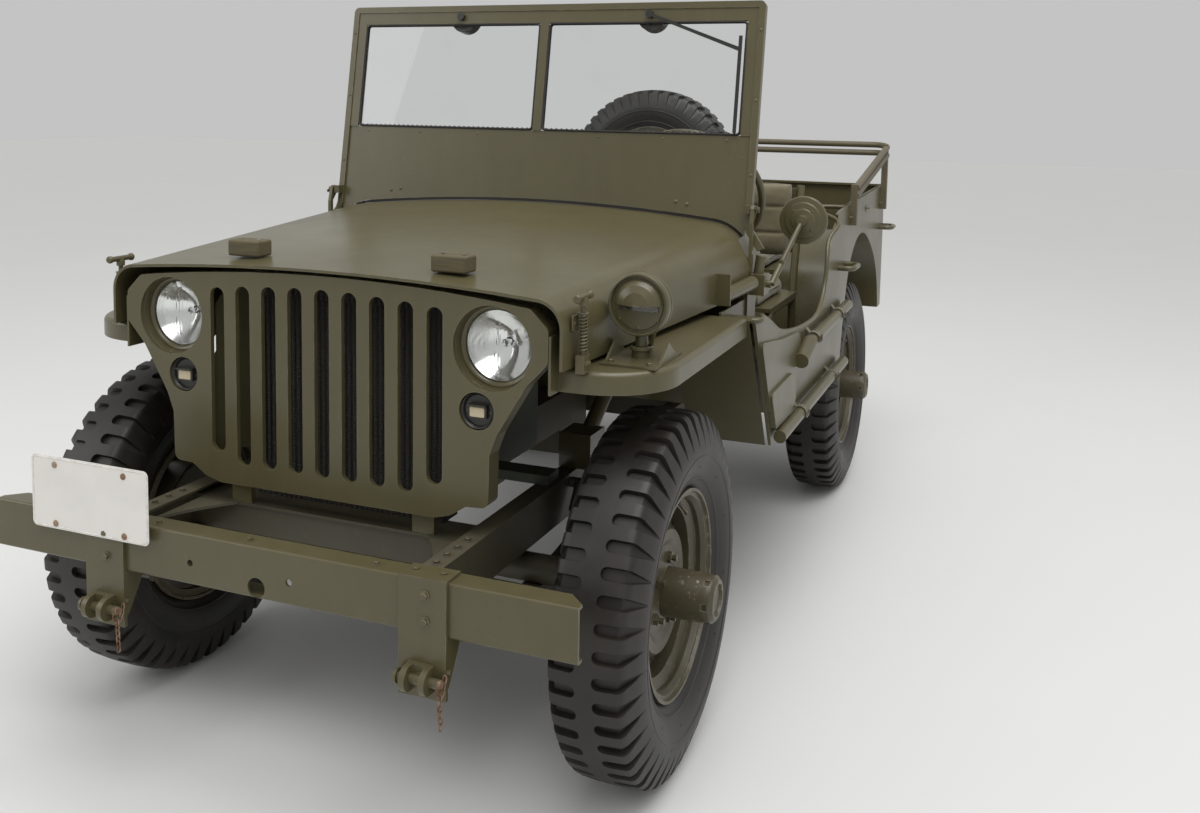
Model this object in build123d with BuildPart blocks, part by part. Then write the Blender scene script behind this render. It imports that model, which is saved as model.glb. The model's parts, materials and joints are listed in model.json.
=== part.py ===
from build123d import *
import os
from math import cos, radians, sin, sqrt

os.makedirs("parts", exist_ok=True)

# A light four-wheel-drive military car, in millimetres.
# +Z is up, the nose points to -Y and the driver's side is +X.
# Lengths named ..._u are measured rearward from the front axle.

# Driving dimensions: wheels and axles
wheelbase = 2032.0
track = 1245.0
tyre_radius = 385.0
tyre_width = 190.0
rim_bead_radius = 203.0
rim_width = 114.0
stud_circle = 139.7
stud_count = 5
stud_radius = 6.35
hand_hole_radius = 23.0
hand_hole_circle = 153.0
hub_radius = 50.0
hub_reach = 770.0
spindle_radius = 22.0
running_gap = 0.05
kingpin_x = 550.0
ball_radius = 52.0
ball_gap = 1.0
axle_tube_radius = 32.0
differential_x = -150.0
differential_radius = 108.0
pinion_reach = 190.0

# Driving dimensions: chassis
front_overhang = 515.0
bumper_width = 1334.0
bumper_top = 562.0
bumper_height = 102.0
bumper_depth = 50.0
bumper_wall = 5.0
bumper_chamfer = 34.0
crank_hole_radius = 20.0
crank_hole_rise = 21.0
bumper_hole_radius = 7.0
bumper_hole_rise = 44.0
clevis_reach = 48.0
rail_outer_x = 371.5
rail_width = 44.0
rail_height = 98.0
rail_wall = 5.0
rail_drop = 38.0
seat_gap = 0.3

# Driving dimensions: body
body_half_width = 728.0
body_rear_u = 2610.0
panel = 8.0
sheet = 6.0
sill_bottom = 535.0
floor_top = 600.0
floor_thickness = 8.0
bed_top = 640.0
door_sill = 776.0
side_top = 1080.0
rear_top = 1105.0
edge_roll = 7.0
cowl_u = 655.0
dash_u = 800.0
firewall_foot = 770.0
dash_foot = 960.0
arch_front_u = 1652.0
arch_rear_u = 2535.0
arch_top = 955.0
wheelhouse_x = 490.0
fender_half_width = 708.0
fender_top = 905.0
fender_front_u = -258.0
fender_rear_u = 425.0
fender_lip = 44.0
fender_sheet = 5.0
shield_foot_u = 640.0

# Driving dimensions: nose and hood
grille_u = -300.0
grille_plate = 5.0
grille_depth = 42.0
grille_half_width = 508.0
grille_bottom = 587.0
grille_top = 1054.0
slot_pitch = 66.0
slot_count = 9
slot_width = 36.0
headlamp_x = 389.0
headlamp_z = 941.0
headlamp_hole_radius = 84.0
marker_x = 357.0
marker_z = 814.0
marker_hole_radius = 38.0
hood_nose_u = -308.0
hood_skirt_nose = 912.0
hood_skirt_rear = 930.0
hood_wall = 6.0
# half width, top, crown and shoulder radius of the hood's two end sections
nose_shape = (541.0, 1068.0, 26.0, 58.0)
cowl_shape = (650.0, 1135.0, 42.0, 122.0)

# Driving dimensions: windshield, mirror and spare
windshield_half_width = 643.0
windshield_foot_u = 704.0
windshield_foot_z = 1103.0
windshield_height = 600.0
windshield_lean = 9.5
windshield_tube = 18.0
windshield_hinge_u = 688.0
windshield_hinge_z = 1145.0
hinge_pin_radius = 6.0
hinge_ear_x = 647.0
hinge_ear = 9.0
glass_low = 235.0
glass_high = 547.0
glass_half_width = 597.0
spare_gap = 42.0
spare_x = -330.0
spare_z = 1100.0

# Derived places
bed_floor = bed_top - floor_thickness
overall_length = clevis_reach + front_overhang + body_rear_u + spare_gap + tyre_width
front_y = clevis_reach + front_overhang - overall_length / 2
rear_y = front_y + wheelbase
half_track = track / 2
backing_x = half_track - 62.0
hub_end = hub_reach - half_track
bore_end = 0.52 * hub_end
spindle_end = bore_end - 6.0
axle_z = tyre_radius
bumper_bottom = bumper_top - bumper_height
rail_top = bumper_top - 2
rail_foot_z = rail_top - rail_height
rail_inner_x = rail_outer_x - rail_width
rail_x = rail_outer_x - rail_width / 2
body_rear_y = front_y + body_rear_u
body_inner = body_half_width - panel - seat_gap
nose_half_width, nose_top, nose_crown, nose_shoulder = nose_shape
cowl_half_width, cowl_top, cowl_crown, cowl_shoulder = cowl_shape


def at(u):
    # Y of a place that lies u behind the front axle
    return front_y + u


column_x = 365.0
hub_drop = 34.0
column_angle = radians(33)
column_dir = Vector(0, cos(column_angle), sin(column_angle))
wheel_centre = Vector(column_x, at(1085), 1158)
column_foot = wheel_centre - column_dir * 1020


def block(x, y, z, mode=Mode.ADD):
    # a box between two values on each axis
    with Locations(((x[0] + x[1]) / 2, (y[0] + y[1]) / 2, (z[0] + z[1]) / 2)):
        Box(abs(x[1] - x[0]), abs(y[1] - y[0]), abs(z[1] - z[0]), mode=mode)


def rod(start, end, radius, mode=Mode.ADD):
    # a round bar between two points
    run = Vector(*end) - Vector(*start)
    with Locations(Plane(origin=start, z_dir=run)):
        Cylinder(radius, run.length, align=(Align.CENTER, Align.CENTER, Align.MIN), mode=mode)


def pipe(points, bend, radius):
    # a bent round bar along straight runs joined by arcs
    with BuildLine() as route:
        FilletPolyline(*points, radius=bend)
    with BuildSketch(Plane(origin=route.line @ 0, z_dir=route.line % 0)) as section:
        Circle(radius)
    sweep(section.sketch, path=route.line)


def plate(plane, outline, thickness, corner=0, mode=Mode.ADD):
    # a flat sheet with a polygon outline
    with BuildSketch(plane) as shape:
        with BuildLine():
            Polyline(*outline, close=True)
        make_face()
        if corner:
            fillet(shape.vertices(), corner)
    extrude(shape.sketch, amount=thickness, mode=mode)


def turned(centre, direction, outline, mode=Mode.ADD):
    # a solid of revolution; outline points are (along the axis, radius)
    axis = Axis(centre, direction)
    across = Vector(0, 0, 1) if abs(axis.direction.Z) < 0.9 else Vector(1, 0, 0)
    across = (across - axis.direction * across.dot(axis.direction)).normalized()
    plane = Plane(origin=centre, x_dir=axis.direction, z_dir=axis.direction.cross(across))
    with BuildSketch(plane) as shape:
        with BuildLine():
            Polyline(*outline, close=True)
        make_face()
    revolve(shape.sketch, axis=axis, mode=mode)


def hood_section(u, shape, foot, wall):
    # cross-section of the hood at u, crowned between two rounded shoulders
    half_width, top, crown, shoulder = shape
    w = half_width - wall
    corner = top - crown - wall
    with BuildSketch(Plane.XZ.offset(-at(u))) as section:
        with BuildLine():
            Line((-w, foot), (-w, corner))
            ThreePointArc((-w, corner), (0, top - wall), (w, corner))
            Line((w, corner), (w, foot))
            Line((w, foot), (-w, foot))
        make_face()
        fillet(section.vertices().group_by(Axis.Y)[-1], shoulder - wall)
    return section.sketch


def save(builder, name):
    builder.part.label = name
    export_step(builder.part, f"parts/{name}.step")


# Chassis frame: two channel rails, cross members and the gusset plate behind the bumper
frame_front = at(-front_overhang + bumper_depth)
frame_rear = at(body_rear_u - 8)
rail_line = [
    (frame_front, rail_top),
    (at(480), rail_top),
    (at(640), rail_top - rail_drop),
    (at(1330), rail_top - rail_drop),
    (at(1480), rail_top),
    (frame_rear, rail_top),
]
rail_foot = [(y, z - rail_height) for y, z in reversed(rail_line)]
cross_members = [
    # u from, u to, depth below the rail top, height
    (-270.0, -190.0, 20.0, 70.0),
    (1030.0, 1110.0, 45.0, 60.0),
    (1780.0, 1830.0, 10.0, 70.0),
]
radiator_rest = rail_top - cross_members[0][2] + seat_gap
body_mounts = (1600.0, 2200.0, 2450.0)
mount_top = bed_floor - seat_gap
gusset_arc = [(237.0, -277.0), (272.0, -322.0), (rail_inner_x + 1, -425.0)]
with BuildPart() as frame:
    for side in (1, -1):
        with BuildSketch(Plane.YZ.offset(side * rail_inner_x)) as rail_side:
            with BuildLine():
                Polyline(*rail_line, *rail_foot, close=True)
            make_face()
        extrude(rail_side.sketch, amount=side * rail_width)
        with BuildSketch(Plane.YZ.offset(side * rail_inner_x)) as rail_hollow:
            add(rail_side.sketch_local)
            offset(amount=-rail_wall, kind=Kind.INTERSECTION)
        extrude(rail_hollow.sketch, amount=side * (rail_width - rail_wall), mode=Mode.SUBTRACT)
    for start, end, below, height in cross_members:
        top = rail_top - below
        web = rail_outer_x - rail_wall
        block((-web, web), (at(start), at(end)), (top - height, top))
    with BuildSketch(Plane.XY.offset(rail_top - cross_members[0][2] - sheet)) as gusset:
        with BuildLine():
            right = [(x, at(u)) for x, u in gusset_arc]
            left = [(-x, y) for x, y in right]
            Line(left[0], right[0])
            ThreePointArc(*right)
            Line(right[2], (right[2][0], at(-200)))
            Line((right[2][0], at(-200)), (left[2][0], at(-200)))
            Line((left[2][0], at(-200)), left[2])
            ThreePointArc(*reversed(left))
        make_face()
    extrude(gusset.sketch, amount=sheet)
    block((-rail_outer_x, rail_outer_x), (frame_rear - 45, frame_rear), (rail_foot_z, rail_top))
    for side in (1, -1):
        for u in body_mounts:
            block((side * rail_outer_x, side * rail_inner_x), (at(u), at(u + 60)), (rail_top - 1, mount_top))
save(frame, "frame")

# Front bumper: an open channel across the frame horns, its rear corners cut off
bumper_face = at(-front_overhang)
bumper_back = bumper_face + bumper_depth
crank_hole_z = bumper_bottom + crank_hole_rise
bumper_hole_z = bumper_bottom + bumper_hole_rise
bumper_holes = [
    # x, z, radius
    (0.0, crank_hole_z, crank_hole_radius),
    (-158.0, bumper_hole_z, bumper_hole_radius),
    (75.0, bumper_hole_z, bumper_hole_radius),
]
with BuildPart() as front_bumper:
    half = bumper_width / 2
    block((-half, half), (bumper_face, bumper_back), (bumper_bottom, bumper_top))
    fillet(front_bumper.edges().filter_by(Axis.X).group_by(Axis.Y)[0], bumper_wall)
    block(
        (-half - 1, half + 1),
        (bumper_face + bumper_wall, bumper_back + 1),
        (bumper_bottom + bumper_wall, bumper_top - bumper_wall),
        Mode.SUBTRACT,
    )
    for side in (1, -1):
        plate(
            Plane.XY.offset(bumper_bottom - 1),
            [(side * (half - bumper_chamfer), bumper_back + 1), (side * (half + 1), bumper_back + 1),
             (side * (half + 1), bumper_back - bumper_chamfer)],
            bumper_height + 2,
            mode=Mode.SUBTRACT,
        )
    for x, z, radius in bumper_holes:
        rod((x, bumper_face - 1, z), (x, bumper_face + bumper_wall + 1, z), radius, Mode.SUBTRACT)
save(front_bumper, "front_bumper")

# Bumper brackets: a face plate over the channel with a side flange, and a clevis with its pin for towing
bracket_width = 98.0
bracket_x = 368.0
bracket_bottom = 345.0
bracket_plate = 8.0
clevis_z = 386.0
clevis_ear = 12.0
clevis_gap = 28.0
clevis_round = 24.0
pin_radius = 9.0
with BuildPart() as bumper_brackets:
    for side in (1, -1):
        middle = side * bracket_x
        x0 = middle - bracket_width / 2
        x1 = middle + bracket_width / 2
        front = bumper_face - bracket_plate
        pin_y = bumper_face - clevis_reach + clevis_round
        block((x0, x1), (front, bumper_face - seat_gap), (bracket_bottom, bumper_top + sheet))
        block((x0, x1), (front, bumper_back - 4), (bumper_top + seat_gap, bumper_top + sheet))
        block((x0 + 8, x1 - 8), (front, bumper_back), (bumper_bottom - 10, bumper_bottom - seat_gap))
        plate(
            Plane.YZ.offset(x1 - sheet),
            [(front, bracket_bottom + 12), (front, bumper_bottom - seat_gap), (bumper_back, bumper_bottom - seat_gap),
             (bumper_back - 6, bumper_bottom - 22), (bumper_face + 8, bracket_bottom + 30)],
            sheet,
        )
        for ear in (-clevis_gap / 2 - clevis_ear, clevis_gap / 2):
            with BuildSketch(Plane.YZ.offset(middle + ear)) as ear_shape:
                with Locations((pin_y, clevis_z)):
                    Circle(clevis_round)
                with Locations(((pin_y + front) / 2, clevis_z)):
                    Rectangle(front - pin_y + 1, 2 * clevis_round)
            extrude(ear_shape.sketch, amount=clevis_ear)
        block((middle - clevis_gap / 2 - clevis_ear, middle + clevis_gap / 2 + clevis_ear),
              (front - 10, front + 1), (clevis_z - clevis_round, clevis_z + clevis_round))
        rod((middle - 44, pin_y, clevis_z), (middle + 44, pin_y, clevis_z), pin_radius)
        rod((middle - 44, pin_y, clevis_z), (middle - 38, pin_y, clevis_z), pin_radius + 5)
save(bumper_brackets, "bumper_brackets")


def axle_shape(ball, y, nose):
    # an axle tube with its differential; the front one ends in balls
    centre = (0, y, axle_z)
    for side in (1, -1):
        if ball:
            radius, x = ball
            run = x - sqrt(radius * radius - axle_tube_radius * axle_tube_radius)
            plane = Plane(origin=centre, x_dir=(side, 0, 0), z_dir=(0, -side, 0))
            with BuildSketch(plane) as half_axle:
                with BuildLine():
                    Polyline((x + radius, 0), (0, 0), (0, axle_tube_radius), (run, axle_tube_radius))
                    ThreePointArc((run, axle_tube_radius), (x, radius), (x + radius, 0))
                make_face()
            revolve(half_axle.sketch, axis=Axis(centre, (side, 0, 0)))
        else:
            rod(centre, (side * (backing_x - 30), y, axle_z), axle_tube_radius)
    r = differential_radius
    turned((differential_x, y, axle_z), (0, nose, 0), [
        (-r, 0), (-r + 4, r * 0.45), (-r * 0.7, r * 0.82), (-r * 0.2, r), (r * 0.25, r), (r * 0.7, r * 0.78),
        (r, r * 0.54), (pinion_reach, r * 0.43), (pinion_reach, 0),
    ])


# Front axle: tube, offset differential and the ball ends that carry the knuckles
with BuildPart() as front_axle:
    axle_shape((ball_radius, kingpin_x), front_y, 1)
save(front_axle, "front_axle")

# Rear axle: tube, offset differential and flanged ends with the spindles
with BuildPart() as rear_axle:
    axle_shape(None, rear_y, -1)
    for side in (1, -1):
        centre = (0, rear_y, axle_z)
        turned(centre, (side, 0, 0), [
            (backing_x - 30, 0), (backing_x - 30, 60), (backing_x - 6, 60), (backing_x - 6, 128),
            (backing_x, 128), (backing_x, 34), (backing_x + 12, 34), (backing_x + 16, spindle_radius),
            (half_track + spindle_end, spindle_radius), (half_track + spindle_end, 0),
        ])
save(rear_axle, "rear_axle")

# Leaf springs: curved packs under the axles, each leaf shorter than the one above it
spring_width = 44.0
leaf = 6.0
leaf_count = 8
spring_eye_radius = 18.0
shackle_plate = 8.0
spring_table = [
    # axle y, half length
    (front_y, 430.0),
    (rear_y, 520.0),
]
spring_eye_z = rail_foot_z - 34.0
spring_seat_z = axle_z - axle_tube_radius - seat_gap
with BuildPart() as leaf_springs:
    for y, half in spring_table:
        sag = spring_eye_z - spring_seat_z
        bend = (half * half + sag * sag) / (2 * sag)
        for side in (1, -1):
            with BuildSketch(Plane.YZ.offset(side * rail_x - spring_width / 2)) as pack:
                for i in range(leaf_count):
                    reach = half * (1 - i / leaf_count * 0.82)
                    rise = bend - sqrt(bend * bend - reach * reach)
                    low = spring_seat_z - leaf * i
                    tip = low + rise
                    with BuildLine():
                        top_arc = ThreePointArc((y - reach, tip), (y, low), (y + reach, tip))
                        Line(top_arc @ 1, (y + reach, tip - leaf))
                        low_arc = ThreePointArc((y + reach, tip - leaf), (y, low - leaf), (y - reach, tip - leaf))
                        Line(low_arc @ 1, top_arc @ 0)
                    make_face()
            extrude(pack.sketch, amount=spring_width)
            for end in (-1, 1):
                ye = y + end * half
                eye = spring_eye_radius
                rod((side * rail_x - 24, ye, spring_eye_z), (side * rail_x + 24, ye, spring_eye_z), eye)
                for cheek in (-24 - shackle_plate, 24):
                    block((side * rail_x + cheek, side * rail_x + cheek + shackle_plate), (ye - 16, ye + 16),
                          (spring_eye_z - 16, rail_foot_z - seat_gap))
            clamp = spring_seat_z - leaf * leaf_count
            block((side * rail_x - 34, side * rail_x + 34), (y - 45, y + 45), (clamp - 10, clamp))
save(leaf_springs, "leaf_springs")

# Shock absorbers: a cylinder from each spring seat up to the frame rail
shock_lean = 150.0
with BuildPart() as shock_absorbers:
    for y, lean in ((front_y, shock_lean), (rear_y, -shock_lean)):
        for side in (1, -1):
            x = side * (rail_outer_x + 34)
            foot = (x, y + lean * 0.55, axle_z - 52)
            mid = (x, y + lean * 0.75, rail_foot_z + 20)
            head = (x, y + lean, rail_top - 22)
            rod(foot, head, 14)
            rod(mid, head, 24)
            rod((side * (rail_outer_x + seat_gap), head[1], head[2]), head, 12)
            rod((side * (rail_x + spring_width / 2 + seat_gap), foot[1], foot[2]), foot, 12)
save(shock_absorbers, "shock_absorbers")

# Engine: one plain block with its sump and head, on two mounts
engine_u = (-90.0, 440.0)
with BuildPart() as engine_block:
    block((-150, 150), (at(engine_u[0]), at(engine_u[1])), (520, 800))
    block((-95, 95), (at(engine_u[0] + 10), at(engine_u[1] - 10)), (800, 930))
    block((-110, 110), (at(120), at(330)), (450, 520))
    for side in (1, -1):
        block((side * 150, side * (rail_outer_x - 12)), (at(40), at(100)), (rail_top + seat_gap, rail_top + 22))
save(engine_block, "engine_block")

# Gearbox with its transfer case, and the two propeller shafts
shaft_z = 430.0
with BuildPart() as driveline:
    block((-95, 95), (at(engine_u[1]) + seat_gap, at(800)), (480, 585))
    block((-230, 60), (at(800), at(1000)), (380, 590))
    flange_y = pinion_reach + 3
    rod((differential_x, front_y + flange_y, axle_z), (differential_x, at(800), shaft_z), 24)
    rod((differential_x, at(1000), shaft_z), (differential_x, rear_y - flange_y, axle_z), 26)
save(driveline, "driveline")

# Radiator core with its top tank, behind the grille
with BuildPart() as radiator:
    block((-235, 235), (at(-210), at(-150)), (radiator_rest, 985))
    block((-240, 240), (at(-215), at(-140)), (985, 1020))
save(radiator, "radiator")

# Exhaust: pipe, silencer and tail pipe along the right side
pipe_z = 398.0
pipe_x = -264.0
silencer_u = (1130.0, 1370.0)
tail_u = silencer_u[1] + 85.0
tail_x = -660.0
manifold_x = -172.0
with BuildPart() as exhaust:
    pipe([(manifold_x - seat_gap, at(320), 640), (manifold_x - 28, at(400), 560), (pipe_x, at(560), pipe_z),
          (pipe_x, at(silencer_u[0] + 50), pipe_z)], 50, 22)
    rod((pipe_x, at(silencer_u[0]), pipe_z), (pipe_x, at(silencer_u[1]), pipe_z), 54)
    pipe([(pipe_x, at(silencer_u[1] - 10), pipe_z), (pipe_x, at(tail_u), pipe_z), (tail_x, at(tail_u), pipe_z - 4)],
         60, 18)
save(exhaust, "exhaust")

# Floor: pan, toe board, rear bed with its riser and the fuel tank well under the driver
toe_u = 560.0
toe_run = 180.0
bed_front_u = 1560.0
bed_rear = body_rear_y - panel - seat_gap
bed_half = wheelhouse_x - seat_gap
well_x = (rail_outer_x + 14, 580.0)
well_u = (1180.0, 1540.0)
well_bottom = 480.0
with BuildPart() as floor:
    block((-body_inner, body_inner), (at(toe_u + toe_run), at(bed_front_u)), (floor_top - floor_thickness, floor_top))
    plate(
        Plane.YZ.offset(-body_inner),
        [
            (at(toe_u), firewall_foot), (at(cowl_u + sheet), firewall_foot),
            (at(cowl_u + sheet), firewall_foot - sheet), (at(toe_u + 14), firewall_foot - sheet),
            (at(toe_u + toe_run + 10), floor_top), (at(toe_u + toe_run), floor_top - floor_thickness),
        ],
        2 * body_inner,
    )
    block((-bed_half, bed_half), (at(bed_front_u), bed_rear), (bed_floor, bed_top))
    block((-bed_half, bed_half), (at(bed_front_u), at(bed_front_u + 8)), (floor_top - floor_thickness, bed_top))
    for side in (1, -1):
        block((side * (wheelhouse_x + 8), side * body_inner), (at(bed_front_u), at(arch_front_u - 12)),
              (floor_top - floor_thickness, floor_top))
        block((side * bed_half, side * body_inner), (at(arch_rear_u + 12), bed_rear), (bed_floor, bed_top))
    block(well_x, (at(well_u[0]), at(well_u[1])), (well_bottom, floor_top - floor_thickness + 1))
save(floor, "floor")

# Body sides: a skin with the curved door cut and wheel arch, a rolled edge, a shelf to the cowl and a wheel housing
door_edge = [
    # u, z along the door cut, from the fender to the rear corner's slope
    (fender_rear_u, fender_top - 4), (520.0, 896.0), (606.0, 867.0), (704.0, 829.0), (829.0, 803.0),
    (1141.0, door_sill), (1282.0, 791.0), (1362.0, 852.0), (1394.0, 935.0), (1440.0, 1003.0), (1530.0, 1050.0),
    (1673.0, side_top),
]
arch_edge = [
    # u, z along the wheel arch, from its rear foot
    (arch_rear_u, 600.0), (2450.0, 772.0), (2255.0, 900.0), (2070.0, arch_top), (1915.0, 938.0),
    (1792.0, 865.0), (1705.0, 720.0), (arch_front_u, sill_bottom),
]
arch_centre = (2060.0, 600.0)
rear_slope = (rear_top - side_top) / (body_rear_u - door_edge[-1][0])
skin_front_y = at(fender_rear_u) + seat_gap
shelf_end_u = 740.0
wall_x = cowl_half_width - 12.0


def arch_points(grow):
    # the arch's edge, moved outward from its centre
    points = []
    for u, z in arch_edge:
        du, dz = u - arch_centre[0], z - arch_centre[1]
        scale = 1 + grow / sqrt(du * du + dz * dz)
        points.append((at(arch_centre[0] + du * scale), arch_centre[1] + dz * scale))
    return points


def rolled_edge_line():
    # the door cut and the top edge behind it
    points = [(skin_front_y, door_edge[0][1])] + [(at(u), z) for u, z in door_edge[1:]]
    curve = Spline(*points, tangents=((1, -0.02), (1, rear_slope)))
    return curve


def shield_y(z):
    # Y of the splash shield's rear face at height z
    rake = (shield_foot_u - fender_rear_u) / (fender_top - fender_sheet - sill_bottom)
    return skin_front_y + rake * (fender_top - fender_sheet - z)


shelf_top = fender_top - 6.0
cowl_front_y = at(cowl_u) - 1
shelf_table = [
    # inner x, top line of the shelf, front corner under it
    (wall_x, [(shield_y(shelf_top) + 1, shelf_top), (at(520), 894.0), (at(606), 865.0), (cowl_front_y, 847.0)],
     shield_y(shelf_top - sheet) + 1),
    (cowl_half_width + seat_gap, [(cowl_front_y, 847.0), (at(704), 827.0), (at(shelf_end_u), 819.0)], cowl_front_y),
]
outer_x = body_half_width - panel
housing_table = [
    # inner x, growth of the outline, mode
    (wheelhouse_x, sheet, Mode.ADD),
    (wheelhouse_x + sheet, 0.0, Mode.SUBTRACT),
]
with BuildPart() as body_side:
    with BuildSketch(Plane.YZ.offset(outer_x)) as skin:
        with BuildLine():
            cut = rolled_edge_line()
            Polyline(cut @ 1, (body_rear_y, rear_top), (body_rear_y, 600.0), arch_points(0)[0])
            arch = Spline(*arch_points(0))
            Polyline(arch @ 1, (shield_y(sill_bottom), sill_bottom), cut @ 0)
        make_face()
    extrude(skin.sketch, amount=panel)
    with BuildLine(Plane.YZ.offset(body_half_width - edge_roll)) as roll:
        curve = rolled_edge_line()
        end = body_rear_y - panel - 2
        Line(curve @ 1, (end, rear_top - (body_rear_y - end) * rear_slope))
    with BuildSketch(Plane(origin=roll.line @ 0, z_dir=roll.line % 0)) as bead:
        Circle(edge_roll)
    sweep(bead.sketch, path=roll.line)
    for inner_x, line, corner_y in shelf_table:
        under = [(y, z - sheet) for y, z in reversed(line)]
        under[-1] = (corner_y, under[-1][1])
        plate(Plane.YZ.offset(inner_x), line + under, outer_x - inner_x + 0.5)
    wall_foot = fender_top - 70
    plate(
        Plane.YZ.offset(wall_x),
        [(skin_front_y, fender_top + 8), (cowl_front_y, fender_top + 8), (cowl_front_y, wall_foot),
         (shield_y(wall_foot) + 1, wall_foot), (skin_front_y + 1, fender_top - fender_sheet)],
        sheet,
    )
    for start, grow, mode in housing_table:
        with BuildSketch(Plane.YZ.offset(start)) as housing:
            with BuildLine():
                rim = Spline(*arch_points(grow))
                if mode == Mode.ADD:
                    Line(rim @ 1, rim @ 0)
                else:
                    Polyline(rim @ 1, (at(arch_front_u), 400), (at(arch_rear_u), 400), rim @ 0)
            make_face()
        extrude(housing.sketch, amount=outer_x - start, mode=mode)

for side, name in ((1, "side_left"), (-1, "side_right")):
    placed = body_side.part if side > 0 else body_side.part.mirror(Plane.YZ)
    placed.label = name
    export_step(placed, f"parts/{name}.step")

# Rear panel with its folded top and bottom edges
with BuildPart() as rear_panel:
    lip_half = body_inner - 2 * edge_roll
    block((-body_inner, body_inner), (body_rear_y - panel, body_rear_y), (600, rear_top))
    block((-lip_half, lip_half), (body_rear_y - 26, body_rear_y - panel), (rear_top - 8, rear_top))
    block((-lip_half, lip_half), (body_rear_y - 26, body_rear_y - panel), (bed_floor - 20, bed_floor - seat_gap))
save(rear_panel, "rear_panel")

# Cowl: the box between the hood's rear edge and the dash, with the firewall and the windshield's hinge posts
column_hole = 19.0 + seat_gap
hinge_post_x = 672.0
boss_x = 690.0
cowl_side_cut = [
    # u, z of the door opening's front edge
    (dash_u + 1, 1006.0), (768.0, 966.0), (742.0, 890.0), (shelf_end_u - 4, firewall_foot - 1),
    (dash_u + 1, firewall_foot - 1),
]
hinge_y = at(windshield_hinge_u)
hinge_ear_edge = [
    # u, z of the ears that carry the windshield's pins
    (662.0, 985.0), (676.0, 985.0), (677.0, 1112.0), (698.0, 1136.0), (700.0, 1146.0), (694.0, 1156.0),
    (682.0, 1156.0), (674.0, 1148.0), (664.0, 1110.0),
]
with BuildPart() as cowl:
    depth = dash_u - cowl_u
    extrude(hood_section(cowl_u, cowl_shape, firewall_foot + seat_gap, 0), amount=-depth)
    extrude(hood_section(cowl_u + sheet, cowl_shape, firewall_foot - 10, sheet), amount=-depth, mode=Mode.SUBTRACT)
    plate(Plane.YZ.offset(-cowl_half_width - 1), [(at(u), z) for u, z in cowl_side_cut], 2 * cowl_half_width + 2,
          mode=Mode.SUBTRACT)
    extrude(hood_section(dash_u - sheet, cowl_shape, dash_foot, 0), amount=-sheet)
    for side in (1, -1):
        block((side * (cowl_half_width - 4), side * boss_x), (at(668), at(724)), (922, 976))
        rod((side * (hinge_post_x - 8), at(700), 960), (side * hinge_post_x, at(700), 1024), 13)
        plate(
            Plane.YZ.offset(side * hinge_ear_x),
            [(at(u), z) for u, z in hinge_ear_edge],
            side * hinge_ear,
        )
        rod((side * hinge_ear_x, hinge_y, windshield_hinge_z),
            (side * (hinge_ear_x + hinge_ear + 1), hinge_y, windshield_hinge_z), hinge_pin_radius + running_gap,
            Mode.SUBTRACT)
    rod(tuple(column_foot), tuple(wheel_centre), column_hole, Mode.SUBTRACT)
save(cowl, "cowl")

# Grille: a pressed pan with upright slots, rolled lamp holes and turned-back edges
grille_edge = [
    # x, z down one side, from the foot to the top corner
    (262.0, grille_bottom), (300.0, 597.0), (335.0, 620.0), (384.0, 623.0), (386.0, 730.0), (402.0, 772.0),
    (462.0, 872.0), (grille_half_width, 922.0), (grille_half_width, 988.0), (470.0, 1025.0),
]
slot_table = [
    # distance from the middle slot in pitches, foot, top
    (0, 631.0, 1026.0),
    (1, 631.0, 1025.0),
    (2, 631.0, 1022.0),
    (3, 631.0, 1018.0),
    (4, 655.0, 1012.0),
]
slot_lip = 4.0
grille_face = Plane.XZ.offset(-at(grille_u))
with BuildPart() as grille:
    with BuildSketch(grille_face) as pan:
        with BuildLine():
            right = Polyline(*grille_edge)
            left = Polyline(*[(-x, z) for x, z in grille_edge])
            ThreePointArc(right @ 1, (0, grille_top), left @ 1)
            Line(left @ 0, right @ 0)
        make_face()
        fillet(pan.vertices(), 16)
    extrude(pan.sketch, amount=-grille_depth)
    with BuildSketch(Plane.XZ.offset(-at(grille_u + grille_plate))) as pan_hollow:
        add(pan.sketch_local)
        offset(amount=-grille_plate, kind=Kind.INTERSECTION)
    extrude(pan_hollow.sketch, amount=-grille_depth, mode=Mode.SUBTRACT)
    for depth, grow, mode in ((11.0, 2 * slot_lip, Mode.ADD), (12.0, 0.0, Mode.SUBTRACT)):
        with BuildSketch(grille_face) as slots:
            for step, foot, top in slot_table:
                for side in (1, -1) if step else (1,):
                    with Locations((side * step * slot_pitch, (top + foot) / 2)):
                        SlotOverall(top - foot + grow, slot_width + grow, rotation=90)
            for side in (1, -1):
                with Locations((side * headlamp_x, headlamp_z)):
                    Circle(headlamp_hole_radius + grow / 2)
                with Locations((side * marker_x, marker_z)):
                    Circle(marker_hole_radius + grow / 2)
        extrude(slots.sketch, amount=-depth, mode=mode)
    for side in (1, -1):
        block((side * 200, side * 250), (at(-276), at(-262)), (radiator_rest, grille_bottom + grille_plate))
save(grille, "grille")

# Headlamps: bowls set back behind the grille's rolled holes, with domed lenses
lamp_back = 11.0 + seat_gap
with BuildPart() as headlamps:
    for side in (1, -1):
        r = headlamp_hole_radius
        turned((side * headlamp_x, at(grille_u), headlamp_z), (0, 1, 0), [
            (22, 0), (25, r * 0.48), (32, r - 12), (32, r - 8), (28, r - 6), (28, r), (lamp_back, r),
            (lamp_back, r + 3), (lamp_back + 4, r + 3), (lamp_back + 4, r + 2), (60, r), (98, r * 0.54), (104, 0),
        ])
save(headlamps, "headlamps")

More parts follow.
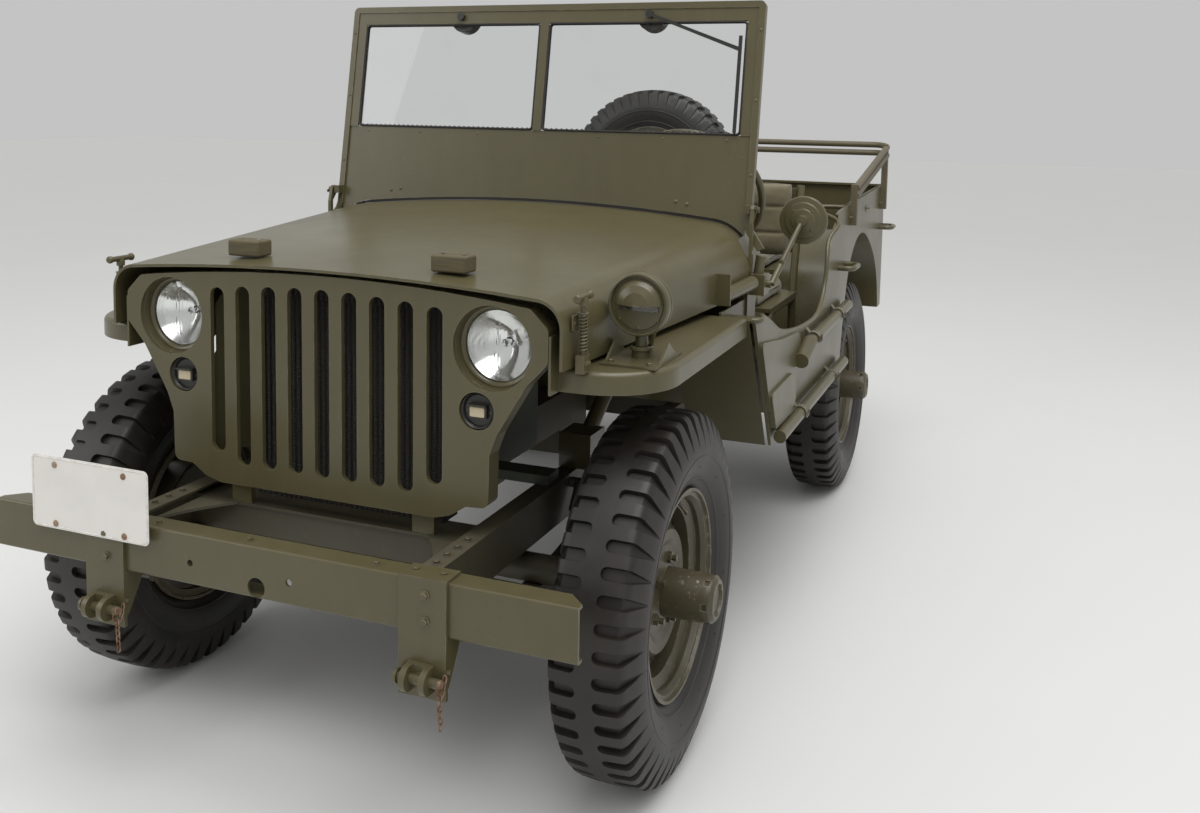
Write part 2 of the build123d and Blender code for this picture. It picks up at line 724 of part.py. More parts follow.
# Marker lamps: discs with a hooded slit under the headlamps, and the lamps at the rear corners
with BuildPart() as marker_lamps:
    for side in (1, -1):
        r = marker_hole_radius
        turned((side * marker_x, at(grille_u), marker_z), (0, 1, 0), [
            (3, 0), (3, r - 8), (6, r - 1), (lamp_back, r - 1), (lamp_back, r + 3), (lamp_back + 3, r + 3),
            (lamp_back + 3, r - 4), (44, r - 10), (48, 0),
        ])
        plate(
            Plane.YZ.offset(side * marker_x - 19),
            [(at(grille_u + 4), marker_z + 9), (at(grille_u - 7), marker_z + 5), (at(grille_u - 7), marker_z + 2),
             (at(grille_u + 4), marker_z + 2)],
            38,
        )
        turned((side * 600, body_rear_y, 720), (0, 1, 0), [
            (seat_gap, 0), (seat_gap, 36), (30, 36), (38, 26), (38, 0),
        ])
save(marker_lamps, "marker_lamps")

# Front fenders: a flat top with a turned-down lip, the inner apron, the raked splash shield and the hood catch
fender_inner_x = grille_half_width + seat_gap
apron_top = 975.0
catch_x = 563.0
catch_u = -262.0
for side, name in ((1, "fender_left"), (-1, "fender_right")):
    with BuildPart() as fender:
        with BuildSketch(Plane.XY.offset(fender_top - fender_lip)) as top_face:
            with BuildLine():
                Polyline(
                    (side * fender_inner_x, at(fender_front_u)), (side * fender_half_width, at(fender_front_u)),
                    (side * fender_half_width, at(fender_rear_u)), (side * fender_inner_x, at(fender_rear_u)),
                    close=True,
                )
            make_face()
            corners = top_face.vertices().group_by(Axis.Y)[0].sort_by(Axis.X)
            fillet(corners[-1] if side > 0 else corners[0], 150)
        extrude(top_face.sketch, amount=fender_lip)
        outer_edges = fender.edges().group_by(Axis.Z)[-1].filter_by(lambda e: abs((e @ 0.5).X) > fender_inner_x + 90)
        fillet(outer_edges.filter_by(lambda e: (e @ 0.5).Y < at(fender_rear_u) - 5), 12)
        with BuildSketch(Plane.XY.offset(fender_top - fender_lip)) as under:
            add(top_face.sketch_local)
            offset(amount=-fender_sheet, kind=Kind.INTERSECTION)
        extrude(under.sketch, amount=fender_lip - fender_sheet, mode=Mode.SUBTRACT)
        block((side * fender_inner_x, side * (fender_inner_x + fender_sheet)),
              (at(grille_u + 2), at(fender_rear_u)), (fender_top - fender_lip, apron_top))
        plate(
            Plane.YZ.offset(side * fender_inner_x),
            [(at(fender_rear_u) - fender_sheet, fender_top - fender_sheet), (at(fender_rear_u), fender_top - fender_sheet),
             (at(shield_foot_u), sill_bottom), (at(shield_foot_u) - fender_sheet, sill_bottom)],
            side * (body_half_width - 2 * edge_roll - 1 - fender_inner_x),
        )
        rod((side * catch_x, at(catch_u), fender_top - 2), (side * catch_x, at(catch_u), 1048), 5)
        rod((side * catch_x, at(catch_u - 34), 1050), (side * catch_x, at(catch_u + 34), 1050), 6)
        block((side * (catch_x - 9), side * (catch_x + 9)), (at(catch_u - 14), at(catch_u + 14)),
              (fender_top - 1, fender_top + 34))
    save(fender, name)

# Drive lamp on the left fender: a hooded lamp on a post over a base channel with turned-up ends
lamp_x = 628.0
lamp_u = -110.0
lamp_z = 1020.0
lamp_radius = 64.0
base_half_length = 58.0
base_half_width = 83.0
with BuildPart() as lamp_hood:
    turned((lamp_x, at(lamp_u), lamp_z), (0, 1, 0), [
        (-20, 0), (-20, 50), (-28, 48), (-38, 40), (-45, 26), (-48, 0),
    ])
    block((lamp_x - 90, lamp_x + 90), (at(lamp_u - 60), at(lamp_u)), (lamp_z - 90, lamp_z), Mode.SUBTRACT)
with BuildPart() as drive_lamp:
    turned((lamp_x, at(lamp_u), lamp_z), (0, 1, 0), [
        (-24, 0), (-24, 50), (-21, 52), (-21, 55), (-28, 57), (-28, 61), (-22, lamp_radius), (-12, lamp_radius),
        (-8, 60), (26, 47), (48, 24), (52, 0),
    ])
    add(lamp_hood.part)
    rod((lamp_x, at(lamp_u), fender_top + seat_gap), (lamp_x, at(lamp_u), lamp_z - 40), 13)
    rod((lamp_x, at(lamp_u), fender_top + seat_gap), (lamp_x, at(lamp_u), fender_top + 26), 20)
    block((lamp_x - base_half_length, lamp_x + base_half_length),
          (at(lamp_u - base_half_width), at(lamp_u + base_half_width)), (fender_top + seat_gap, fender_top + 5))
    for end in (-base_half_length, base_half_length - 5):
        plate(
            Plane.YZ.offset(lamp_x + end),
            [(at(lamp_u - 52), fender_top + 4), (at(lamp_u + 52), fender_top + 4), (at(lamp_u), fender_top + 40)],
            5,
        )
save(drive_lamp, "drive_lamp")

# Hood: a crowned shell with side skirts, hinged along its rear edge, with the duct on its left side
hood_rear_u = cowl_u - 0.5
duct_u = 444.0
duct_side = nose_half_width + (cowl_half_width - nose_half_width) * (duct_u - hood_nose_u) / (hood_rear_u - hood_nose_u)
duct_radius = 18.0
with BuildPart() as hood:
    loft([
        hood_section(hood_nose_u, nose_shape, hood_skirt_nose, 0),
        hood_section(hood_rear_u, cowl_shape, hood_skirt_rear, 0),
    ])
    loft([
        hood_section(hood_nose_u - 1, nose_shape, hood_skirt_nose - 1, hood_wall),
        hood_section(hood_rear_u + 1, cowl_shape, hood_skirt_rear - 1, hood_wall),
    ], mode=Mode.SUBTRACT)
    block((duct_side - 3, duct_side + 34), (at(duct_u - 3), at(duct_u + 3)), (928, 1006))
    rod((duct_side + 12, at(duct_u), 948), (cowl_half_width + 13, at(hood_rear_u - 8), 958), duct_radius)
save(hood, "hood")

# Wooden blocks near the hood's nose
block_u = -220.0
block_xs = (262.0, -240.0)
block_length = 80.0
block_width = 50.0
block_height = 35.0
hood_slope = (cowl_top - nose_top) / (hood_rear_u - hood_nose_u)
hood_middle = nose_top + hood_slope * (block_u + block_width / 2 - hood_nose_u)
with BuildPart() as hood_blocks:
    for x in block_xs:
        crown_fall = nose_crown * ((abs(x) - block_length / 2) / nose_half_width) ** 2
        foot = hood_middle - crown_fall + seat_gap
        block((x - block_length / 2, x + block_length / 2),
              (at(block_u) - block_width / 2, at(block_u) + block_width / 2), (foot, foot + block_height))
    fillet(hood_blocks.edges(), 5)
save(hood_blocks, "hood_blocks")

# Windshield: a tube frame over a lower panel that follows the cowl, leaning back about its hinge line
lean = radians(windshield_lean)
shield = Plane(
    origin=(0, at(windshield_foot_u), windshield_foot_z),
    x_dir=(1, 0, 0),
    z_dir=(0, -cos(lean), sin(lean)),
)
frame_inner = windshield_half_width - windshield_tube
tube_half = windshield_tube / 2 + 1
leg_foot = -64.0
panel_clearance = 8.0
cowl_clear_shape = (
    cowl_half_width + panel_clearance, cowl_top + panel_clearance, cowl_crown, cowl_shoulder + panel_clearance,
)
with BuildPart() as windshield_frame:
    with BuildSketch(shield) as lower_panel:
        with Locations((0, (glass_low - 90) / 2)):
            Rectangle(2 * frame_inner + 2, glass_low + 90)
    extrude(lower_panel.sketch, amount=4, both=True)
    extrude(hood_section(cowl_u, cowl_clear_shape, firewall_foot, 0), amount=-(dash_u - cowl_u), mode=Mode.SUBTRACT)
    with BuildSketch(shield) as tube_frame:
        with BuildLine():
            w, h, t = windshield_half_width, windshield_height, windshield_tube
            Polyline((-w, 0), (-w, h), (w, h), (w, 0), (w - t, 0), (w - t, h - t), (t - w, h - t), (t - w, 0), close=True)
        make_face()
        fillet(tube_frame.vertices().group_by(Axis.Y)[-1], 16)
    extrude(tube_frame.sketch, amount=tube_half, both=True)
    with BuildSketch(shield) as glass_frame:
        with Locations((0, (glass_low + windshield_height) / 2 - 4)):
            Rectangle(2 * frame_inner + 2, windshield_height - glass_low - 8)
        with Locations((0, (glass_low + glass_high) / 2)):
            Rectangle(2 * glass_half_width, glass_high - glass_low, mode=Mode.SUBTRACT)
            Rectangle(26, glass_high - glass_low)
    extrude(glass_frame.sketch, amount=7, both=True)
    for side in (1, -1):
        w = windshield_half_width
        with BuildSketch(shield) as leg:
            with BuildLine():
                Polyline(
                    (side * frame_inner, 3), (side * w, 3), (side * (w + 5), -14), (side * (w + 38), leg_foot + 4),
                    (side * (w + 20), leg_foot - 4), (side * (w - 12), -22), close=True,
                )
            make_face()
        extrude(leg.sketch, amount=tube_half, both=True)
        block((side * (frame_inner + 2), side * w), (hinge_y - 11, hinge_y + 14),
              (windshield_hinge_z - 11, windshield_hinge_z + 11))
        rod((side * (w - 3), hinge_y, windshield_hinge_z),
            (side * (hinge_ear_x + hinge_ear + 2), hinge_y, windshield_hinge_z), hinge_pin_radius)
save(windshield_frame, "windshield_frame")

# Windshield glass: two panes
with BuildPart() as windshield_glass:
    pane_width = glass_half_width - 13 - 2 * seat_gap
    pane_height = glass_high - glass_low - 2 * seat_gap
    with BuildSketch(shield) as panes:
        for side in (1, -1):
            with Locations((side * (13 + glass_half_width) / 2, (glass_low + glass_high) / 2)):
                Rectangle(pane_width, pane_height)
    extrude(panes.sketch, amount=3, both=True)
save(windshield_glass, "windshield_glass")

# Wipers: a half-round motor behind each pane's top edge, and the arm and blade in front of the left pane
motor_xs = (318.0, -270.0)
motor_radius = 42.0
motor_v = 566.0
blade_x = 582.0
with BuildPart() as windshield_wipers:
    for x in motor_xs:
        with BuildSketch(shield.offset(-7 - seat_gap)) as motor:
            with Locations((x, motor_v)):
                Circle(motor_radius)
            with Locations((x, motor_v + motor_radius)):
                Rectangle(2 * motor_radius, 2 * motor_radius - 18, mode=Mode.SUBTRACT)
        extrude(motor.sketch, amount=-34)
        with BuildSketch(shield.offset(7 + seat_gap)) as pivot:
            with Locations((x, motor_v)):
                Circle(11)
        extrude(pivot.sketch, amount=12)
    with BuildSketch(shield.offset(14)) as arm:
        with BuildLine():
            Polyline((motor_xs[0], motor_v + 4), (motor_xs[0], motor_v - 4), (blade_x - 4, 462), (blade_x + 4, 470), close=True)
        make_face()
        with Locations((blade_x, 372)):
            Rectangle(9, 262)
    extrude(arm.sketch, amount=5)
save(windshield_wipers, "windshield_wipers")

# Mirror on its jointed arm, from the boss by the left windshield hinge
mirror_x = 750.0
mirror_u = 850.0
mirror_z = 1108.0
mirror_radius = 66.0
with BuildPart() as mirror_arm:
    base = (boss_x + 12, at(700), 950)
    knee = (718, at(752), 1006)
    head = (mirror_x, at(mirror_u - 18), mirror_z)
    rod((boss_x + seat_gap, base[1], base[2]), base, 10)
    rod(base, knee, 9)
    rod(knee, head, 7)
    rod((mirror_x, at(mirror_u - 30), mirror_z), (mirror_x, at(mirror_u), mirror_z), 13)
    r = mirror_radius
    turned((mirror_x, at(mirror_u), mirror_z), (0, 1, 0), [
        (-22, 0), (-22, 14), (-16, 16), (-14, r * 0.46), (-10, r * 0.5), (-8, r * 0.72), (-4, r * 0.76), (-2, r - 3),
        (3, r), (7, r), (7, 0),
    ])
save(mirror_arm, "mirror")

# Steering column with the gear case on the left rail
with BuildPart() as steering_column:
    rod(tuple(column_foot), tuple(wheel_centre - column_dir * (hub_drop + seat_gap)), 19)
    fx, fy, fz = column_foot
    block((fx - 40, fx + 40), (fy - 50, fy + 40), (rail_top + seat_gap, fz + 40))
save(steering_column, "steering_column")

# Steering wheel: rim, three spokes and hub
steering_radius = 211.0
with BuildPart() as steering_wheel:
    wheel_plane = Plane(origin=wheel_centre, x_dir=(1, 0, 0), z_dir=column_dir)
    with BuildSketch(Plane(origin=wheel_centre, x_dir=(1, 0, 0), z_dir=wheel_plane.y_dir)) as rim_section:
        with Locations((steering_radius, 0)):
            Circle(11)
    revolve(rim_section.sketch, axis=Axis(wheel_centre, column_dir))
    for i in range(3):
        a = radians(90 + 120 * i)
        reach = steering_radius - 3
        tip = wheel_centre + wheel_plane.x_dir * (reach * cos(a)) + wheel_plane.y_dir * (reach * sin(a))
        rod(tuple(wheel_centre), tuple(tip), 7)
    rod(tuple(wheel_centre - column_dir * hub_drop), tuple(wheel_centre + column_dir * 14), 26)
save(steering_wheel, "steering_wheel")

# Seats: tube frames with separate soft cushions, two in front and a bench in the bed
seat_table = [
    # x centre, half width, u front, u back, seat board top, back height, floor
    (365.0, 230.0, 1160.0, 1560.0, 800.0, 350.0, floor_top),
    (-365.0, 230.0, 1160.0, 1560.0, 800.0, 350.0, floor_top),
    (0.0, 420.0, 2010.0, 2390.0, 800.0, 250.0, bed_top),
]
seat_tube = 13.0
cushion = 75.0
with BuildPart() as seat_frames:
    for x, w, front, back, top, back_height, foot in seat_table:
        block((x - w, x + w), (at(front), at(back)), (top - 12, top))
        for side in (1, -1):
            rail = x + side * (w - 14)
            pipe([(rail, at(front + 20), foot + seat_gap), (rail, at(front + 20), top - 20),
                  (rail, at(back - 20), top - 20)], 40, seat_tube)
            pipe([(rail, at(back - 20), foot + seat_gap), (rail, at(back - 20), top - 20),
                  (rail, at(back + 70), top + back_height)], 60, seat_tube)
        block((x - w + 10, x + w - 10), (at(back + 62), at(back + 70)), (top + 120, top + back_height - 10))
save(seat_frames, "seat_frames")

with BuildPart() as seat_cushions:
    for x, w, front, back, top, back_height, foot in seat_table:
        half = w - 32
        block((x - half, x + half), (at(front + 5), at(back - 50)), (top + seat_gap, top + cushion))
        block((x - half, x + half), (at(back - 8), at(back + 62) - seat_gap), (top + 110, top + back_height + 10))
save(seat_cushions, "seat_cushions")

# Spare wheel carrier, wheel and tyre on the rear panel
spare_y = body_rear_y + spare_gap + tyre_width / 2
disc_back = 16.0 + seat_gap
with BuildPart() as spare_carrier:
    block((spare_x - 70, spare_x + 70), (body_rear_y + seat_gap, body_rear_y + 12), (rear_top - 250, rear_top - 4))
    plate(
        Plane.XZ.offset(-(body_rear_y + 12)),
        [(spare_x - 62, rear_top - 200), (spare_x + 62, rear_top - 200), (spare_x + 62, spare_z + 40),
         (spare_x + 30, spare_z + 80), (spare_x - 30, spare_z + 80), (spare_x - 62, spare_z + 40)],
        -14,
    )
    rod((spare_x, body_rear_y + 20, spare_z), (spare_x, spare_y + disc_back - seat_gap, spare_z), 60)
save(spare_carrier, "spare_carrier")

# Wheel and tyre shapes, about an axis along X with the outer face to +X
flange_r = rim_bead_radius + 17
rim_outline = [
    (-69, flange_r), (-57, flange_r), (-57, rim_bead_radius), (-35, rim_bead_radius), (-25, 182), (25, 182),
    (35, rim_bead_radius), (57, rim_bead_radius), (57, flange_r), (69, flange_r), (69, flange_r - 6),
    (62, flange_r - 8), (62, 204), (50, 197), (39, 197), (29, 176), (-29, 176), (-39, 197), (-62, 197),
    (-62, flange_r - 8), (-69, flange_r - 6),
]
disc_front = 24.0 + seat_gap
disc_bore = hub_radius + 2
disc_outline = [
    (-12, 178), (-2, 178), (8, 150), (30, 128), (30, 108), (disc_front, 95), (disc_front, disc_bore),
    (disc_back, disc_bore), (disc_back, 97), (22, 112), (22, 126), (0, 146),
]
bore = spindle_radius + running_gap
flange_back = disc_front + seat_gap
hub_outline = [
    (-4, bore), (-4, 38), (10, 40), (10, 110), (-46, 116), (-46, 126), (16, 126), (16, hub_radius + 1),
    (flange_back, hub_radius + 1), (flange_back, 90), (30, 66), (34, hub_radius + 2), (hub_end - 18, hub_radius),
    (hub_end - 8, hub_radius - 1), (hub_end, hub_radius - 9), (hub_end, hub_radius - 16), (hub_end - 5, hub_radius - 18),
    (hub_end - 5, 0), (bore_end, 0), (bore_end, bore),
]
bead = rim_width / 2 - seat_gap
bead_r = rim_bead_radius + seat_gap


def stud_places():
    return PolarLocations(stud_circle / 2, stud_count)


with BuildPart() as wheel_disc:
    turned((0, 0, 0), (1, 0, 0), rim_outline)
    turned((0, 0, 0), (1, 0, 0), disc_outline)
    with BuildSketch(Plane.YZ.offset(-20)) as hand_holes:
        with PolarLocations(hand_hole_circle, stud_count, start_angle=36):
            Circle(hand_hole_radius)
    extrude(hand_holes.sketch, amount=60, mode=Mode.SUBTRACT)

with BuildPart() as wheel_hub:
    turned((0, 0, 0), (1, 0, 0), hub_outline)
    with BuildSketch(Plane.YZ.offset(flange_back)) as nuts:
        with stud_places():
            RegularPolygon(12, 6)
    extrude(nuts.sketch, amount=14)
    with BuildSketch(Plane.YZ.offset(flange_back + 13)) as studs:
        with stud_places():
            Circle(stud_radius)
    extrude(studs.sketch, amount=12)
    with BuildSketch(Plane.YZ.offset(hub_end - 24)) as notches:
        with PolarLocations(hub_radius, 6):
            Rectangle(10, 14)
    extrude(notches.sketch, amount=12, mode=Mode.SUBTRACT)

with BuildPart() as road_wheel:
    add(wheel_disc.part)
    add(wheel_hub.part)

with BuildPart() as spare_rim:
    add(wheel_disc.part)
    with BuildSketch(Plane.YZ.offset(10)) as stud_holes:
        with stud_places():
            Circle(stud_radius + 1)
    extrude(stud_holes.sketch, amount=30, mode=Mode.SUBTRACT)

with BuildPart() as tyre:
    with BuildSketch(Plane.XY) as tyre_section:
        with BuildLine():
            shoulder = (tyre_width / 2 - 20, tyre_radius - 13)
            belly = (tyre_width / 2, (tyre_radius + bead_r) / 2 + 12.9)
            tread = (tyre_width / 2 - 31, tyre_radius)
            for side in (1, -1):
                Line((side * bead, bead_r), (side * bead, bead_r + 18))
                ThreePointArc((side * bead, bead_r + 18), (side * belly[0], belly[1]), (side * shoulder[0], shoulder[1]))
                Line((side * shoulder[0], shoulder[1]), (side * tread[0], tread[1]))
            Line((-tread[0], tread[1]), tread)
            Line((-bead, bead_r), (bead, bead_r))
        make_face()
    revolve(tyre_section.sketch, axis=Axis.X)

wheel_table = [
    # name, side, y
    ("front_left", 1, front_y),
    ("front_right", -1, front_y),
    ("rear_left", 1, rear_y),
    ("rear_right", -1, rear_y),
]
for name, side, y in wheel_table:
    for shape, kind in ((road_wheel.part, "wheel"), (tyre.part, "tyre")):
        turned_shape = shape if side > 0 else shape.mirror(Plane.YZ)
        placed = Pos(side * half_track, y, axle_z) * turned_shape
        placed.label = f"{kind}_{name}"
        export_step(placed, f"parts/{placed.label}.step")

for shape, name in ((spare_rim.part, "spare_wheel"), (tyre.part, "spare_tyre")):
    placed = Pos(spare_x, spare_y, spare_z) * Rot(0, 0, 90) * shape
    placed.label = name
    export_step(placed, f"parts/{name}.step")

# Steering knuckles: a cup round the axle's ball, the backing plate, the spindle and the track arm
arm_length = 162.0
arm_in = 40.0
arm_thickness = 14.0
cup = ball_radius + ball_gap
cup_lip = 16.0
for side, name in ((1, "knuckle_left"), (-1, "knuckle_right")):
    kx = side * kingpin_x
    with BuildPart() as knuckle:
        spindle_tip = half_track - kingpin_x + spindle_end
        with BuildSketch(Plane(origin=(kx, front_y, axle_z), x_dir=(side, 0, 0), z_dir=(0, -side, 0))) as cup_half:
            with BuildLine():
                inner_start = (-cup_lip, sqrt(cup * cup - cup_lip * cup_lip))
                ThreePointArc(inner_start, (cup * cos(radians(60)), cup * sin(radians(60))), (cup, 0))
                Polyline(
                    (cup, 0), (spindle_tip, 0), (spindle_tip, spindle_radius),
                    (64, spindle_radius), (58, 34), (40, 53), (18, 62), (18, 128), (12, 128), (12, 65),
                    (-cup_lip, 64), inner_start,
                )
            make_face()
        revolve(cup_half.sketch, axis=Axis((kx, front_y, axle_z), (side, 0, 0)))
        root_x = kx + side * 16
        tip_x = kx - side * arm_in
        tip_y = front_y - arm_length - 14
        plate(
            Plane.XY.offset(axle_z - arm_thickness / 2),
            [(root_x - 14, front_y - 57), (root_x + 14, front_y - 57), (tip_x + 14, tip_y), (tip_x - 14, tip_y)],
            arm_thickness,
        )
    save(knuckle, name)

# Tie rod between the two track arms, in front of the axle
tie_x = kingpin_x - arm_in
tie_end_radius = 16.0
tie_end_height = 28.0
tie_z = axle_z + (arm_thickness + tie_end_height) / 2 + seat_gap
with BuildPart() as tie_rod:
    rod((-tie_x, front_y - arm_length, tie_z), (tie_x, front_y - arm_length, tie_z), 12)
    for side in (1, -1):
        with Locations((side * tie_x, front_y - arm_length, tie_z)):
            Cylinder(tie_end_radius, tie_end_height)
save(tie_rod, "tie_rod")

# Grab handles on the body sides
handle_reach = 58.0
handle_radius = 9.0
handle_table = [
    # u from, u to, height
    (1565.0, 1685.0, 885.0),
    (2500.0, 2592.0, 935.0),
]
with BuildPart() as grab_handles:
    for side in (1, -1):
        x = side * (body_half_width + seat_gap)
        far = side * (body_half_width + handle_reach - handle_radius)
        for start, end, z in handle_table:
            pipe([(x, at(start), z), (far, at(start), z), (far, at(end), z), (x, at(end), z)], 24, handle_radius)
save(grab_handles, "grab_handles")

# Folded top bows: two hoops that fan out from a pivot on each side and lie round the rear of the body
bow_x = body_half_width + 16.0
bow_radius = 12.0
bow_front_u = 1770.0
bow_table = [
    # height at the pivot end, height at the rear
    (1112.0, 1235.0),
    (1140.0, 1268.0),
]
clamp_table = [
    # u, top of the clamp post
    (1762.0, 1152.0),
    (2500.0, 1272.0),
]
with BuildPart() as top_bows:
    rear = body_rear_y - 34
    for low, high in bow_table:
        pipe([(bow_x, at(bow_front_u), low), (bow_x, rear, high), (-bow_x, rear, high), (-bow_x, at(bow_front_u), low)],
             60, bow_radius)
    for side in (1, -1):
        for u, top in clamp_table:
            block((side * (body_half_width + seat_gap), side * (bow_x + 7)), (at(u), at(u + 26)), (side_top - 70, top))
save(top_bows, "top_bows")

# Shovel and axe strapped below the left door cut
blade_x0 = body_half_width + seat_gap
handle_x = blade_x0 + 22.0
shovel_edge = [(468, 838), (700, 806), (905, 788), (936, 762), (938, 690), (905, 656), (600, 634), (582, 640)]
axe_edge = [(560, 690), (800, 694), (852, 668), (860, 610), (820, 584), (624, 584)]
with BuildPart() as pioneer_tools:
    plate(Plane.YZ.offset(blade_x0), [(at(u), z) for u, z in shovel_edge], 9, 12)
    rod((handle_x, at(880), 712), (handle_x, at(1000), 742), 22)
    rod((handle_x, at(990), 741), (handle_x, at(1650), 752), 17)
    plate(Plane.YZ.offset(blade_x0), [(at(u), z) for u, z in axe_edge], 16, 12)
    rod((handle_x, at(640), 560), (handle_x, at(1600), 566), 17)
    block((blade_x0, blade_x0 + 12), (at(700), at(740)), (560, 600))
save(pioneer_tools, "pioneer_tools")

# Rear tow gear: pintle hook on the rear cross member, and the two bumperettes
bumperette_x = 540.0
bumperette_half = 100.0
bumperette_z = (490.0, 575.0)
hook_z = 510.0
with BuildPart() as rear_tow_gear:
    block((-70, 70), (frame_rear + seat_gap, frame_rear + 16), (rail_top - 90, rail_top - 6))
    rod((0, frame_rear + 10, hook_z), (0, frame_rear + 70, hook_z), 24)
    pipe([(0, frame_rear + 60, hook_z), (0, frame_rear + 130, hook_z), (0, frame_rear + 130, hook_z + 50)], 24, 16)
    for side in (1, -1):
        x0 = side * bumperette_x - bumperette_half
        x1 = side * bumperette_x + bumperette_half
        low, high = bumperette_z
        block((x0, x1), (frame_rear + 60, frame_rear + 70), (low, high))
        block((x0, x1), (frame_rear + 30, frame_rear + 60), (low, low + 8))
        block((x0, x1), (frame_rear + 30, frame_rear + 60), (high - 8, high))
        block((side * (rail_outer_x - 40), side * 560), (frame_rear + seat_gap, frame_rear + 30.5), (low + 2, high - 2))
save(rear_tow_gear, "rear_tow_gear")

# Floor controls: gear lever and the two transfer levers
lever_table = [
    # x, u of the foot, height of the knob
    (0.0, 830.0, 930.0),
    (-70.0, 900.0, 860.0),
    (-130.0, 900.0, 850.0),
]
with BuildPart() as control_levers:
    for x, u, top in lever_table:
        block((x - 14, x + 14), (at(u - 16), at(u + 16)), (floor_top + seat_gap, floor_top + 14))
        rod((x, at(u), floor_top + 6), (x, at(u + 40), top), 8)
        with Locations((x, at(u + 40), top)):
            Sphere(20)
save(control_levers, "control_levers")
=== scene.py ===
import json
from math import copysign, cos, exp, pi, radians, sin, sqrt, tau

import bmesh
import bpy
from mathutils import Matrix, Vector, noise
from mathutils.bvhtree import BVHTree


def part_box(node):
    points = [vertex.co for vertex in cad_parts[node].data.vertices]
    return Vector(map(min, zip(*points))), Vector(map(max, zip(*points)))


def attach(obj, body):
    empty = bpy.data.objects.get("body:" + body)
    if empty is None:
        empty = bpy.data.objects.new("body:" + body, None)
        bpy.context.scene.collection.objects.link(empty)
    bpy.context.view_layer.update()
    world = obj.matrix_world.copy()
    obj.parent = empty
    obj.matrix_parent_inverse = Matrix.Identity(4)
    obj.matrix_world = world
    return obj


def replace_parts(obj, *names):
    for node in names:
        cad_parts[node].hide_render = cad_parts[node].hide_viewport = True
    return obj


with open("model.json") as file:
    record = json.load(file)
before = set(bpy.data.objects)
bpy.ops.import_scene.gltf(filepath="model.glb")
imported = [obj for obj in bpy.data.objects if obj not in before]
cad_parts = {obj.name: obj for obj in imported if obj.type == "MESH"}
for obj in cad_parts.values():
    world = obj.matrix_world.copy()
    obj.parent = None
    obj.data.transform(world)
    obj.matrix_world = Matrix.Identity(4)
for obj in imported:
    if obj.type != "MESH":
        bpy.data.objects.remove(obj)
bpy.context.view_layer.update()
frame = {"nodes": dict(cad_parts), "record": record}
nodes = frame["nodes"]
print("frame loaded:", len(nodes), "pieces")


graph = {}  # graph["tree"] is the node tree that the helpers below add to


def addNode(kind, **settings):
    node = graph["tree"].nodes.new(kind)
    for key, value in settings.items():
        setattr(node, key, value)
    return node


def feed(socket, value):
    # sets a number or a colour on the socket, or links another node's output to it
    if isinstance(value, (int, float)):
        socket.default_value = value
    elif isinstance(value, tuple):
        socket.default_value = (*value, 1)[:len(socket.default_value)]
    else:
        graph["tree"].links.new(value, socket)


def objectSpace(scale=None):
    # object coordinates, squeezed by scale along x, y and z where it is given
    where = addNode("ShaderNodeTexCoord").outputs["Object"]
    if scale is None:
        return where
    node = addNode("ShaderNodeMapping")
    feed(node.inputs["Scale"], scale)
    feed(node.inputs["Vector"], where)
    return node.outputs[0]


def noiseNode(scale, detail, roughness=0.6, squeeze=None):
    node = addNode("ShaderNodeTexNoise")
    values = {"Vector": objectSpace(squeeze), "Scale": scale, "Detail": detail, "Roughness": roughness}
    for label, value in values.items():
        feed(node.inputs[label], value)
    return node.outputs["Fac"]


def rampNode(value, low, high):
    # a smooth step from 0 at low to 1 at high
    node = addNode("ShaderNodeMapRange", interpolation_type="SMOOTHSTEP")
    for label, given in (("Value", value), ("From Min", low), ("From Max", high)):
        feed(node.inputs[label], given)
    return node.outputs["Result"]


def mathNode(operation, first, *others):
    # joins the values one after another
    for value in others or (0,):
        node = addNode("ShaderNodeMath", operation=operation)
        feed(node.inputs[0], first)
        feed(node.inputs[1], value)
        first = node.outputs[0]
    return first


def times(*values):
    return mathNode("MULTIPLY", *values)


def plus(*values):
    return mathNode("ADD", *values)


def mixColour(factor, first, second, blend="MIX"):
    node = addNode("ShaderNodeMix", data_type="RGBA", blend_type=blend)
    for index, value in ((0, factor), (6, first), (7, second)):
        feed(node.inputs[index], value)
    return node.outputs[2]


def splitAxes(vector):
    node = addNode("ShaderNodeSeparateXYZ")
    feed(node.inputs[0], vector)
    return node.outputs


def newGroup(name, inputs, outputs):
    # an empty shader group; a tuple makes a colour socket, and so does the label Color
    group = graph["tree"] = bpy.data.node_groups.new(name, "ShaderNodeTree")
    for label, value in inputs.items():
        kind = "NodeSocketColor" if isinstance(value, tuple) else "NodeSocketFloat"
        group.interface.new_socket(label, in_out="INPUT", socket_type=kind).default_value = value
    for label in outputs:
        kind = "NodeSocketColor" if label == "Color" else "NodeSocketFloat"
        group.interface.new_socket(label, in_out="OUTPUT", socket_type=kind)
    return group, addNode("NodeGroupInput").outputs, addNode("NodeGroupOutput").inputs


